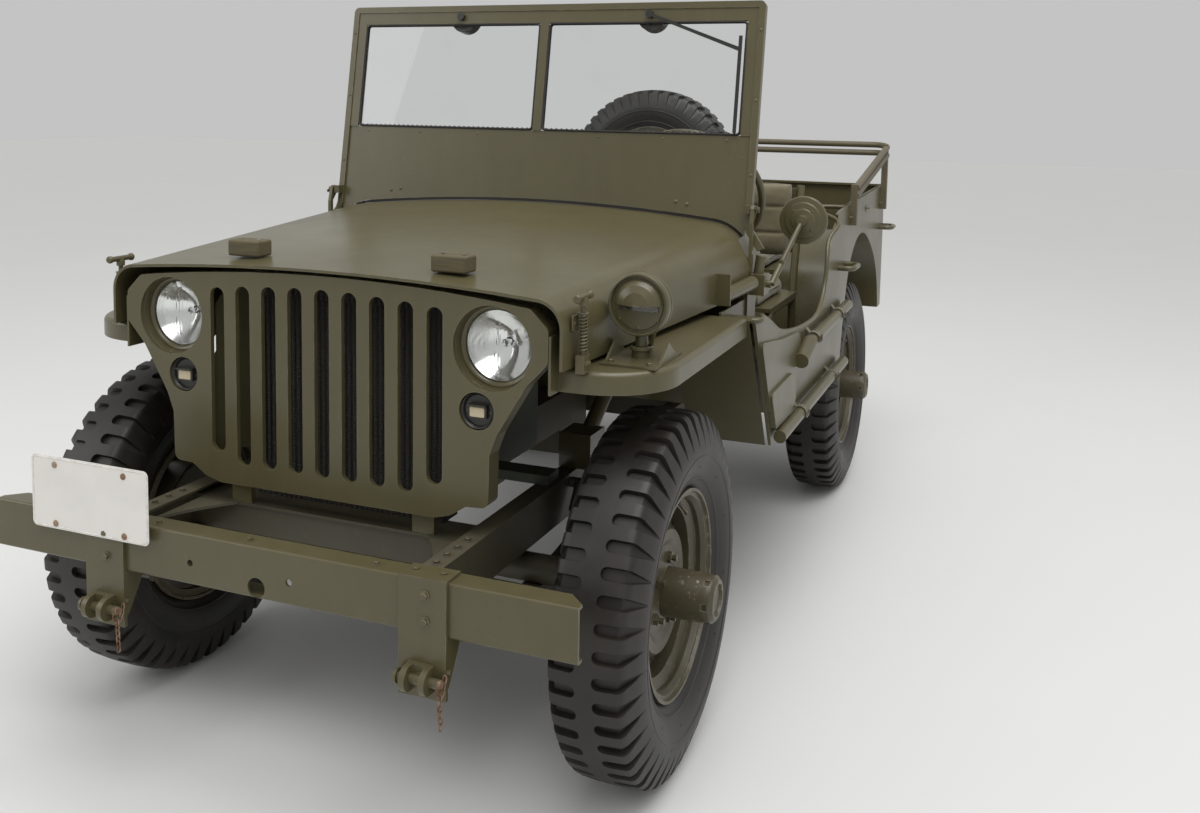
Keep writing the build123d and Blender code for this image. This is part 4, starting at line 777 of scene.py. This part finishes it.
def addChain(mesh, start, end, links, sag=0, wire=1.5, length=13, width=8):
    span = end - start
    for index in range(links):
        t = (index + 0.5) / links
        place = start.lerp(end, t) - Vector((0, 0, sag * 4 * t * (1 - t) * 0.001))
        slope = Vector((0, 0, -sag * 4 * (1 - 2 * t) * 0.001)) / max(span.length, 1e-6)
        run, side, up = crossFrame(span.normalized() + slope)
        if index % 2:
            side = up
        loop = []
        for a, b in circle(1, 14):
            bend = max(-1, min(1, 1.3 * a))
            loop.append(place + run * (length / 2 * bend * 0.001) + side * (width / 2 * b * 0.001))
        tubeAlong(mesh, loop, circle(wire, 6), closed=True)


def buildBumperTrim():
    look = bumperLook
    face, pinU, pinZ = look["bracketFace"], look["pinU"], look["pinZ"]
    bolts, pins, chain, plate, straps = newMeshes(5)
    for side in (1, -1):
        middle = side * look["bracketX"]
        for z in look["bracketBolts"]:
            hexBolt(bolts, (middle + 6, face, z), forward, 13, 8)
        hexBolt(bolts, (middle, face - 10, pinZ), forward, 15, 10)
        for x in (-30, 28):
            hexBolt(bolts, (middle + x, look["topU"], look["top"]), upward, 12, 7)
        tip = middle + 44
        turnedForm(pins, (tip, pinU, pinZ), [(0, 0), (0, 8.6), (3, 8.6), (5, 7), (5, 0)], 20, sideways)
        ring = [spot(tip + 1.5, pinU + a, pinZ - 9 + b) for a, b in circle(11, 20)]
        tubeAlong(chain, ring, circle(1.3, 6), closed=True)
        start = spot(tip + 1.5, pinU, pinZ - 18)
        addChain(chain, start, spot(tip + 2, pinU + 2, 300), 6)
        addChain(chain, start, spot(tip + 4, pinU + 15, pinZ + 12), 5, sag=14)
        hexBolt(bolts, (tip + 5.5, pinU + 22, pinZ + 14), sideways, 8, 6)
    for x in look["middleBolts"]:
        hexBolt(bolts, (x, look["topU"], look["top"] - 3), upward, 12, 7)
    look = plateLook
    x, z, face, corner = (look[key] for key in ("x", "z", "face", "corner"))
    wide, high = (size / 2 for size in look["size"])
    flatPlate(plate, (x, face, z), roundedBox(wide, high, corner), 1.2)
    rim = [spot(x + a, face - 1, z + b) for a, b in roundedBox(wide - 4, high - 4, corner - 3)]
    tubeAlong(plate, rim, circle(1.3, 6), closed=True)
    for step in look["straps"]:
        flatPlate(straps, (x + step, face + 1.5, z - 5.5), roundedBox(11, 72, 4), 2.4)
        for height in look["rivets"]:
            domeHead(pins, (x + step, face - 1, height), forward, 7)
        turnedForm(straps, (x + step, face + 14, 540), [(0, 0), (0, 9), (12.6, 9), (12.6, 0)], 20, forward)
    makePiece("bumper_bolts", bolts, "bodyPaint")
    makePiece("towing_pin_ends", pins, "rustySteel")
    makePiece("towing_pin_chains", chain, "rustySteel")
    makePiece("blank_plate", plate, "paleEnamel", bevel=0.3)
    makePiece("blank_plate_straps", straps, "chassisPaint", bevel=0.4)


buildBumperTrim()
print("bumper trim ready")

surfaceTrees = {}


def surfaceBelow(node, x, u, top):
    # height in millimetres of a frame piece under a point
    if node not in surfaceTrees:
        surfaceTrees[node] = BVHTree.FromObject(nodes[node], bpy.context.evaluated_depsgraph_get())
    hit = surfaceTrees[node].ray_cast(spot(x, u, top), Vector((0, 0, -1)))
    return hit[0].z * 1000 if hit[0] else None


# air guides that close the gaps between the grille and the radiator's sides
airGuideLook = {
    "x": 242, "u": -178, "z": 640, "sheet": 1.6, "bolts": (670, 820, 980),
    "outline": [(0, 0), (118, 0), (118, 200), (103, 225), (103, 330), (70, 372), (0, 372)],
}


def buildAirGuides():
    look = airGuideLook
    guides = bmesh.new()
    for side in (1, -1):
        foot = spot(side * look["x"], look["u"], look["z"])
        flatPlate(guides, foot, look["outline"], look["sheet"], (side * 0.545, -0.838, 0))
        for z in look["bolts"]:
            hexBolt(guides, (side * (look["x"] + 2), look["u"] - 3, z), (side, 0, 0), 8, 5)
    makePiece("radiator_air_guides", guides, "bodyPaint")


# pedals: two pads on bent arms from the floor, and the small plate of the throttle
pedalLook = {
    "x": (300, 430), "footU": 858, "padU": 890, "pad": (34, 28, 9), "arm": 7,
    "bends": ((858, 0), (852, 50), (862, 110), (890, 150)),  # behind the axle, above the floor
    "throttle": (505, 900), "throttlePad": (22, 62, 10), "above": 760,
}


def buildPedals():
    look = pedalLook
    pads, arms = newMeshes(2)
    lean = Vector((0, 0.64, 0.77))
    for x in look["x"]:
        foot = surfaceBelow("floor", x, look["footU"], look["above"])
        bends = [spot(x, u, foot + rise) for u, rise in look["bends"]]
        tubeAlong(arms, smoothPath(bends, 6), circle(look["arm"], 12))
        turnedForm(arms, (x, look["footU"], foot), [(0, 0), (0, 20), (4, 20), (6, 10), (6, 0)], 20, upward)
        middle = spot(x, look["padU"], foot + 152)
        flatPlate(pads, middle, roundedBox(*look["pad"]), -6, sideways, lean)
        for step in (-18, -9, 0, 9, 18):
            rib = middle + lean * (step * 0.001) + Vector((0, 0.0046, -0.0038))
            flatPlate(pads, rib, roundedBox(27, 1.8, 1.5, 2), -2, sideways, lean)
    x, u = look["throttle"]
    foot = surfaceBelow("floor", x, u, look["above"])
    tubeAlong(arms, [spot(x, u - 20, foot), spot(x, u - 24, foot + 44)], circle(4, 10))
    flatPlate(pads, (x, u, foot + 50), roundedBox(*look["throttlePad"]), -5, sideways, (0, 0.82, 0.57))
    makePiece("pedal_arms", arms, "blackPaint")
    makePiece("pedal_pads", pads, "sealRubber", bevel=0.8)


# bolts on the frame's gussets, as (across, behind the axle), and lashing hooks on the body's sides
gussetBolts = ((350, -440), (350, -400), (350, -360), (300, -430), (240, -410), (350, -318))
hookLook = {"x": 728, "u": (1760, 2140, 2470), "z": 1040, "plate": (20, 12, 4), "wire": 2.4}


def buildChassisBolts():
    look = hookLook
    bolts, hooks = newMeshes(2)
    for x, u in gussetBolts:
        for side in (1, -1):
            height = surfaceBelow("frame", side * x, u, 700)
            if height is not None and height > 520:
                hexBolt(bolts, (side * x, u, height), upward, 12, 7)
    for side in (1, -1):
        for u in look["u"]:
            flatPlate(hooks, (side * (look["x"] - 0.5), u, look["z"]), roundedBox(*look["plate"]), 2.5,
                      (0, side, 0))
            bends = ((0, -12), (8, -11), (11, -5), (11, 5), (8, 11), (0, 12))
            loop = [spot(side * (look["x"] + out), u + along, look["z"]) for out, along in bends]
            tubeAlong(hooks, smoothPath(loop, 3), circle(look["wire"], 8))
    makePiece("chassis_bolts", bolts, "chassisPaint")
    makePiece("lashing_hooks", hooks, "bodyPaint")


# windshield: rubber seals round the panes, the weather strip on the cowl, rivets, and the clamps at the hinges
windshieldLook = {
    "footU": 704, "footZ": 1103, "lean": radians(9.5), "paneInner": 13, "paneOuter": 597,
    "paneLow": 235, "paneHigh": 547, "teeth": 36, "stripHalf": 618, "stripU": 709, "hinge": (658, 688, 1145),
    "band": [(-18, -5), (-8, -3.5), (0, -6), (8, -3.5), (18, -5), (20, 4), (10, 4), (0, 6), (-10, 4), (-20, 4)],
    # rivets as (across, up the panel, out of it, radius)
    "rivets": [(430, 52, 4, 5.5), (462, 46, 4, 5.5), (-430, 52, 4, 5.5), (-462, 46, 4, 5.5)]
              + [(x, 222, 4, 3.6) for x in (-560, -380, -190, 190, 380, 560)]
              + [(x, v, 10, 4.2) for x in (634, -634) for v in (130, 330, 520)],
}


def buildWindshieldTrim():
    look = windshieldLook
    sine, cosine = sin(look["lean"]), cos(look["lean"])
    up, out = Vector((0, sine, cosine)), Vector((0, -cosine, sine))

    def shieldSpot(x, v, w):
        # across, up the leaning windshield, and out in front of it
        return spot(x, look["footU"] + v * sine - w * cosine, look["footZ"] + v * cosine + w * sine)

    seals, strip, rivets, clamps = newMeshes(4)
    inner, outer, low, high = (look[key] for key in ("paneInner", "paneOuter", "paneLow", "paneHigh"))
    halfWide, halfHigh = (outer - inner) / 2 - 3, (high - low) / 2 - 3
    for side in (1, -1):
        middle = side * (inner + outer) / 2
        for w in (4.6, -4.6):
            outline = roundedBox(halfWide, halfHigh, 10, 4)
            tubeAlong(seals, [shieldSpot(middle + a, (low + high) / 2 + b, w) for a, b in outline],
                      circle(3.2, 8), closed=True)
        for k in range(look["teeth"]):  # toothed lower strip behind the glass edge
            x = middle - halfWide + 14 + k * (2 * halfWide - 28) / (look["teeth"] - 1)
            flatPlate(seals, shieldSpot(x, low + 3, 4.2), [(-3.4, 0), (3.4, 0), (2.2, 5), (-2.2, 5)], 2,
                      sideways, up)
    path = []
    for k in range(61):
        x = look["stripHalf"] * (2 * k / 60 - 1)
        height = surfaceBelow("cowl", x, look["stripU"], 1300)
        if height is not None and height > 1010:
            path.append(spot(x, look["stripU"], height + 4.6))
    tubeAlong(strip, path, [(4.6, -3.8), (4.6, 3.8), (-4.6, 3.8), (-4.6, -3.8)])
    for x, v, w, radius in look["rivets"]:
        domeHead(rivets, shieldSpot(x, v, w), out, radius)
    x, u, z = look["hinge"]
    for side in (1, -1):
        turnedForm(clamps, (side * x, u, z), [(0, 0), (0, 9), (3, 9), (4, 7), (8, 7), (9, 6), (9, 0)], 24,
                   (side, 0, 0))
        flatPlate(clamps, (side * (x + 3), u, z), look["band"], 3, (0, side * 0.94, -0.34),
                  (0, side * 0.34, 0.94))
    makePiece("windshield_seals", seals, "sealRubber", "windshield")
    makePiece("windshield_weather_strip", strip, "sealRubber", "windshield")
    makePiece("windshield_rivets", rivets, "bodyPaint", "windshield")
    makePiece("windshield_clamps", clamps, "bodyPaint", "windshield", bevel=0.5)


# hood: screws in the wooden blocks, catch plates, and the springs of the T-handled catches
hoodLook = {
    "blocks": (262, -240), "blockU": -220, "blockTop": 1108, "catchX": 563, "catchU": -262,
    "plateX": 547.5, "plateZ": 1000, "turns": 11, "coil": 8.4, "wire": 1.5, "coilFoot": 944,
    "coilRise": 72, "washerZ": 1018, "stemZ": 1042, "handleZ": 1050, "footZ": 922,
}


def buildHoodTrim():
    look = hoodLook
    screws, plates, springs = newMeshes(3)
    for x in look["blocks"]:
        for step in (-24, 24):
            domeHead(screws, (x + step, look["blockU"], look["blockTop"]), upward, 5)
    for side in (1, -1):
        x, u, plateX, plateZ = side * look["catchX"], look["catchU"], side * look["plateX"], look["plateZ"]
        flatPlate(plates, (plateX, u, plateZ), roundedBox(20, 15, 4), 3, (0, side, 0))
        for step in (-12, 12):
            domeHead(plates, (plateX + side * 3, u + step, plateZ), (side, 0, 0), 4)
        round14 = circle(look["coil"], 14) * look["turns"]
        coil = [spot(x + side * a, u + b, look["coilFoot"] + look["coilRise"] * k / len(round14))
                for k, (a, b) in enumerate(round14)]
        tubeAlong(springs, coil, circle(look["wire"], 6))
        turnedForm(springs, (x, u, look["washerZ"]), [(0, 5), (0, 11), (2.2, 11), (2.2, 5), (0, 5)], 20, upward)
        turnedForm(springs, (x, u, look["stemZ"]), [(-8, 5), (-8, 9), (4, 9.5), (8, 8), (8, 5)], 20, upward)
        for end in (-1, 1):
            grip = [(-8, 6), (-6, 8), (-1, 8.4), (2, 6.5), (3, 0)]
            turnedForm(springs, (x, u + 34 * end, look["handleZ"]), grip, 18, (0, end, 0))
        for step in (-6, 6):
            hexBolt(springs, (x + side * 9, u + step, look["footZ"]), (side, 0, 0), 8, 5)
    makePiece("hood_block_screws", screws, "wornSteel", "hood")
    makePiece("hood_catch_plates", plates, "bodyPaint", "hood", bevel=0.5)
    makePiece("hood_catch_springs", springs, "bodyPaint")


# dash: round gauges with plain marks, knobs, and the lid of the small locker
dashLook = {
    "u": 800, "needle": radians(215), "lid": (-370, 1030), "lidHalf": (150, 46),
    # gauges as (x, z, radius)
    "gauges": ((40, 1040, 48), (128, 1072, 27), (128, 1002, 27), (-48, 1072, 27), (-48, 1002, 27)),
    "knobs": ((-120, 1040), (205, 1030), (240, 1000), (205, 990), (-150, 990), (275, 1040)),
}


def buildDash():
    look = dashLook
    bezels, faces, marks, glass, knobs = newMeshes(5)

    def addMark(middle, angle, lift, outline):
        out, across = Vector((cos(angle), 0, sin(angle))), Vector((-sin(angle), 0, cos(angle)))
        flatPlate(marks, middle + Vector((0, lift, 0)), outline, 0.5, out, across)

    for x, z, radius in look["gauges"]:
        middle = spot(x, look["u"], z)
        turnedForm(bezels, middle, [(0, radius + 3), (3, radius + 4), (7, radius + 2), (8, radius - 1),
                                    (5, radius - 3), (0.5, radius - 3)], 40)
        turnedForm(faces, middle, [(0.2, radius - 1), (3.4, radius - 2.4), (3.4, 0)], 40)
        turnedForm(glass, middle, [(5, radius - 2.8), (6, radius - 4), (6.6, 0)], 40)
        ticks = 25 if radius > 30 else 11
        for k in range(ticks):
            long = k % 4 == 0
            outer, width = radius - 6, 0.9 if long else 0.5
            inner = outer - (7 if long else 4) * radius / 48 * 1.3
            outline = [(inner, -width), (outer, -width), (outer, width), (inner, width)]
            addMark(middle, radians(225 - 270 * k / (ticks - 1)), 0.0044, outline)
        tail, tip = -radius * 0.15, radius * 0.68
        addMark(middle, look["needle"], 0.0050, [(tail, -1.4), (tip, -0.4), (tip, 0.4), (tail, 1.4)])
    for x, z in look["knobs"]:
        turnedForm(knobs, (x, look["u"], z), [(0, 11), (2, 11), (3, 6), (14, 6), (15, 10), (22, 11),
                                              (27, 8), (28, 0)], 20)
    x, z = look["lid"]
    wide, high = look["lidHalf"]
    rim = [spot(x + a, look["u"] + 1.5, z + b) for a, b in roundedBox(wide, high, 12)]
    tubeAlong(bezels, rim, circle(2.4, 6), closed=True)
    flatPlate(bezels, (x, look["u"] + 2.5, z), roundedBox(wide - 4, high - 4, 10), 2.5)
    turnedForm(knobs, (x, look["u"] + 2, z + 28), [(0, 8), (4, 8), (5, 11), (12, 11), (13, 0)], 18)
    for step in (-135, 135):
        hexBolt(knobs, (x + step, look["u"], z - 55), backward, 8, 5)
    makePiece("dash_bezels", bezels, "bodyPaint")
    makePiece("dash_faces", faces, "dialFace")
    makePiece("dash_marks", marks, "dialMark")
    makePiece("dash_glasses", glass, "clearGlass")
    makePiece("dash_knobs", knobs, "blackPaint")


# tools on the left side: webbing straps with buckles, and the small plates that hold the straps' ends
strapLook = {"x": 750.3, "radius": 18.6, "panel": 721.5,
             "places": ((1060, 745), (1460, 750), (900, 563), (1380, 563))}  # behind the axle, height


def buildToolStraps():
    x, panel = strapLook["x"], strapLook["panel"]
    web, metal = newMeshes(2)
    for u, z in strapLook["places"]:
        path = [spot(panel, u, z - 34), spot(panel + 6.5, u, z - 27)]
        for k in range(13):
            angle = radians(-125 + 250 * k / 12)
            path.append(spot(x + strapLook["radius"] * cos(angle), u, z + strapLook["radius"] * sin(angle)))
        path += [spot(panel + 6.5, u, z + 27), spot(panel, u, z + 34)]
        tubeAlong(web, path, [(-13, -0.9), (13, -0.9), (13, 0.9), (-13, 0.9)])
        buckle = [spot(x + 21.2, u + a, z + b) for a, b in roundedBox(17, 9, 3, 3)]
        tubeAlong(metal, buckle, circle(1.7, 6), closed=True)
        tubeAlong(metal, [spot(x + 21.6, u, z - 9), spot(x + 21.6, u, z + 10)], circle(1.3, 6))
        for step in (-34, 34):
            flatPlate(metal, (panel - 0.5, u, z + step), roundedBox(18, 5, 3, 3), 3, backward)
    makePiece("tool_straps", web, "strapWeb")
    makePiece("tool_strap_buckles", metal, "wornSteel")


# mirror: its silvered glass faces the driver, and screws hold the back
mirrorLook = {"place": (750, 850, 1108), "screwCircle": 36, "stem": (718, 742.5, 1006)}


def buildMirrorTrim():
    glass, screws = newMeshes(2)
    x, u, z = mirrorLook["place"]
    turnedForm(glass, (x, u, z), [(6.8, 0), (6.8, 60), (7.6, 60), (7.8, 59), (7.8, 0)], 48)
    turnedForm(screws, (x, u, z), [(6.5, 60.5), (6.5, 65.5), (9, 65), (9.6, 62.5), (9, 60.5), (6.5, 60.5)], 48)
    for a, b in circle(mirrorLook["screwCircle"], 4, radians(45)):
        domeHead(screws, (x + a, u - 9.8, z + b), forward, 3.2)
    hexBolt(screws, (x, u - 22, z), forward, 13, 9)
    hexBolt(screws, mirrorLook["stem"], forward, 11, 7)
    makePiece("mirror_glass", glass, "reflector")
    makePiece("mirror_fastenings", screws, "bodyPaint")


# wheels: a valve on each rim, its place in metres and its turn round the rim as an angle
valveLook = {"x": 0.6525, "z": 0.385, "radius": 0.186, "angle": radians(64)}


def buildValves():
    out, up = cos(valveLook["angle"]), sin(valveLook["angle"])
    profile = [(-4, 0), (-4, 6), (3, 5), (6, 3.4), (24, 3.4), (25, 4.6), (33, 4.6), (34, 3.4), (34, 0)]
    for body, side in (("wheel_front_left", 1), ("wheel_front_right", -1), ("wheel_rear_left", 1),
                       ("wheel_rear_right", -1)):
        low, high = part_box(body)
        reach, mesh = valveLook["radius"], bmesh.new()
        foot = Vector((side * valveLook["x"], (low[1] + high[1]) / 2 + reach * out,
                       valveLook["z"] + reach * up))
        turnedForm(mesh, foot, profile, 14, (side * 0.75, -0.66 * out, -0.66 * up))
        makePiece(body + "_valve", mesh, "wornSteel", body)


# rear: reflectors and rows of body rivets, then the bolts along the tops of the fenders
rearLook = {"u": 2610, "reflector": (500, 760), "upright": 700, "uprightZ": (1060, 960, 860),
            "row": (100, 240, 380, 520, 640), "rowZ": 660, "fender": (530, 905),
            "fenderU": (-150, 60, 200, 340)}


def buildBodyBolts():
    look = rearLook
    bolts, red = newMeshes(2)
    for side in (1, -1):
        x, z = look["reflector"]
        turnedForm(bolts, (side * x, look["u"], z), [(0, 0), (0, 36), (4, 36), (6, 33), (6, 0)], 36)
        turnedForm(red, (side * x, look["u"], z), [(5.5, 0), (5.5, 30), (8, 29), (11, 20), (12, 0)], 36)
        for x, z in [(look["upright"], z) for z in look["uprightZ"]] + [(x, look["rowZ"]) for x in look["row"]]:
            domeHead(bolts, (side * x, look["u"], z), backward, 5)
        x, z = look["fender"]
        for u in look["fenderU"]:
            hexBolt(bolts, (side * x, u, z), upward, 11, 6)
    makePiece("body_bolts", bolts, "bodyPaint")
    makePiece("rear_reflectors", red, "redGlass")


for build in (buildAirGuides, buildPedals, buildChassisBolts, buildWindshieldTrim, buildHoodTrim, buildDash,
              buildToolStraps, buildMirrorTrim, buildValves, buildBodyBolts):
    build()
print("body trim ready")

# seats: crowned canvas cushions with a welt, one cross seam and soft creases
seatTable = {
    # x centre, half width, u front, u back, board top, back height, seams across the back
    "driver": (365, 198, 1165, 1510, 800, 350, (-0.33, 0.33)),
    "passenger": (-365, 198, 1165, 1510, 800, 350, (-0.33, 0.33)),
    "rear": (0, 388, 2015, 2340, 800, 250, (0,)),
}
cushionLook = {
    "pullIn": 0.030, "edgeShare": 0.42, "crease": 0.0035, "welt": 4.5, "seamDepth": 0.010, "seamWidth": 0.035,
    "across": 44, "along": 36, "seatThick": 0.073, "backThick": 0.068, "fill": 0.7,
}


def pulledIn(a, b):
    # how far the side at a is drawn in between its corners
    return 1 - cushionLook["pullIn"] * (1 - b * b) * abs(a) ** 3


def cushionHeight(a, b, thick, seams, seed):
    # the crowned upper face, with seams, creases and small puckers at the welt
    look = cushionLook
    reach = max(abs(a), abs(b))
    fall = (1 - abs(a) ** 5) * (1 - abs(b) ** 5)
    z = thick * (look["edgeShare"] + (1 - look["edgeShare"]) * fall ** 0.42)
    for seam in seams:
        z -= look["seamDepth"] * exp(-((b - seam) / look["seamWidth"]) ** 2) * (1 - reach ** 8)
    crease = noise.noise(Vector((a * 2.4, b * 2.4, seed))) + 0.5 * noise.noise(Vector((a * 6, b * 6, seed + 4)))
    z += crease * look["crease"] * (1 - reach ** 6) + sin(60 * (a + b)) * 0.0008 * reach ** 12
    return min(z, thick)


def cushionGrid(halfWide, halfDeep, thick, seams, seed):
    # a closed pad lying on its flat face, z from 0 to thick, in metres
    mesh = bmesh.new()
    bmesh.ops.create_grid(mesh, x_segments=cushionLook["across"], y_segments=cushionLook["along"], size=1)
    lower = {}
    for vertex in list(mesh.verts):
        lower[vertex] = mesh.verts.new((vertex.co.x, vertex.co.y, -1))
    for face in list(mesh.faces):
        mesh.faces.new([lower[v] for v in reversed(face.verts)])
    for edge in [edge for edge in mesh.edges if len(edge.link_faces) == 1 and edge.verts[0].co.z > -0.5]:
        a, b = edge.verts
        mesh.faces.new((a, b, lower[b], lower[a]))
    for vertex in mesh.verts:
        a, b = vertex.co.x, vertex.co.y
        shrink = 1 - max(0, abs(a) + abs(b) - 1.72) * 0.10  # rounded corners
        x = copysign(abs(a) ** 0.92, a) * pulledIn(a, b) * shrink * halfWide
        y = copysign(abs(b) ** 0.92, b) * pulledIn(b, a) * shrink * halfDeep
        if vertex.co.z > -0.5:
            z = cushionHeight(a, b, thick, seams, seed)
        else:
            z = thick * 0.10 * (1 - ((1 - abs(a) ** 5) * (1 - abs(b) ** 5)) ** 0.3)
        vertex.co = (x, y, z)
    return mesh


def weltPath(halfWide, halfDeep, height):
    path = []
    for c, s in circle(1, 96):
        scale = 1 / (abs(c) ** 9 + abs(s) ** 9) ** (1 / 9)
        a, b = c * scale, s * scale
        path.append(Vector((a * halfWide * pulledIn(a, b), b * halfDeep * pulledIn(b, a), height)))
    return path


def buildCushion(name, halfWide, halfDeep, thick, seams, seed, place):
    mesh = cushionGrid(halfWide, halfDeep, thick, seams, seed)
    welt = weltPath(halfWide * 0.985, halfDeep * 0.985, thick * cushionLook["edgeShare"])
    tubeAlong(mesh, welt, circle(cushionLook["welt"], 8), closed=True)
    bmesh.ops.transform(mesh, matrix=place, verts=mesh.verts)
    piece = makePiece(name, mesh, "seatCanvas", sharp=70)
    refine = piece.modifiers.new("refine", "SUBSURF")
    refine.levels = refine.render_levels = 1
    return piece


def buildCushions():
    for index, (name, (x, half, front, back, top, rise, seams)) in enumerate(seatTable.items()):
        wide, deep = half * 0.001 - 0.004, (back - front) / 2000 - 0.002
        flat = Matrix.Translation(spot(x, (front + back) / 2, top + 1))
        piece = buildCushion(name + "_seat_cushion", wide, deep, cushionLook["seatThick"], (0,), 3 + index,
                             flat)
        if index == 0:
            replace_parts(piece, "seat_cushions")
        # the back cushion stands upright: its flat face against the back plate, its crown to the front
        low, high = top + 110, top + rise + 10
        upright = Matrix.Translation(spot(x, back + 111, (low + high) / 2)) @ Matrix.Rotation(pi / 2, 4, "X")
        buildCushion(name + "_back_cushion", wide, (high - low) / 2000 - 0.002, cushionLook["backThick"],
                     seams, 13 + index, upright)


buildCushions()
print("cushions ready")

# floor, light and camera
studio = {"floorTone": 0.70, "floorSize": 60, "worldLevel": 0.55, "keyPower": 170, "fillPower": 60,
          "sunPower": 0.95}


def buildStage():
    half, tone = studio["floorSize"] / 2, studio["floorTone"]
    data = bpy.data.meshes.new("floor")
    data.from_pydata([(-half, -half, 0), (half, -half, 0), (half, half, 0), (-half, half, 0)], [],
                     [(0, 1, 2, 3)])
    startMaterial("paleFloor")
    pale, dark = (tone, tone, tone * 0.98), (tone * 0.96, tone * 0.96, tone * 0.94)
    shade(Base_Color=mixColour(noiseNode(1.2, 5, 0.5), pale, dark), Roughness=0.6)
    data.materials.append(materials["paleFloor"])
    newObject("floor", data)


def addLamp(name, kind, power):
    data = bpy.data.lights.new(name, kind)
    data.energy = power
    return newObject(name, data)


def areaLamp(name, place, aim, size, power):
    lamp = addLamp(name, "AREA", power)
    lamp.data.shape = "RECTANGLE"
    lamp.data.size, lamp.data.size_y = size
    lamp.location = place
    lamp.rotation_euler = (Vector(aim) - Vector(place)).to_track_quat("-Z", "Y").to_euler()


def buildLight():
    world = bpy.data.worlds.new("studioWorld")
    bpy.context.scene.world = world
    world.use_nodes = True
    background = world.node_tree.nodes["Background"]
    background.inputs["Color"].default_value = (1, 1, 1, 1)
    background.inputs["Strength"].default_value = studio["worldLevel"]
    # a wide and even sun, so that the floor keeps one tone out to the horizon
    sun = addLamp("softSun", "SUN", studio["sunPower"])
    sun.data.angle = radians(50)
    sun.rotation_euler = Vector((1.6, -2.4, 5)).to_track_quat("Z", "Y").to_euler()
    areaLamp("keyLamp", (1.5, -1, 5.5), (0, 0.2, 0.6), (5, 3.5), studio["keyPower"])
    areaLamp("fillLamp", (-4.5, -4, 3), (0, -0.5, 0.6), (3, 3), studio["fillPower"])


photoView = {
    "place": (1.3732, noseY - 2.2363, 1.4098),
    "turn": 21.545, "fall": 5.542, "roll": 0.970,  # degrees
    "focusPixels": 1143.4, "shiftPixels": -190, "widthPixels": 1200,
}


def buildCamera():
    view = photoView
    data = bpy.data.cameras.new("photoCamera")
    camera = newObject("photoCamera", data)
    stand = Matrix.Translation(view["place"])
    for angle, axis in ((view["turn"], "Z"), (90 - view["fall"], "X"), (view["roll"], "Z")):
        stand = stand @ Matrix.Rotation(radians(angle), 4, axis)
    camera.matrix_world = stand
    data.sensor_width = 36
    data.lens = 36 * view["focusPixels"] / view["widthPixels"]
    data.shift_y = view["shiftPixels"] / view["widthPixels"]
    data.clip_end = 100
    bpy.context.scene.camera = camera


buildStage()
buildLight()
buildCamera()
bpy.context.scene.view_settings.view_transform = "Standard"
print("studio ready")
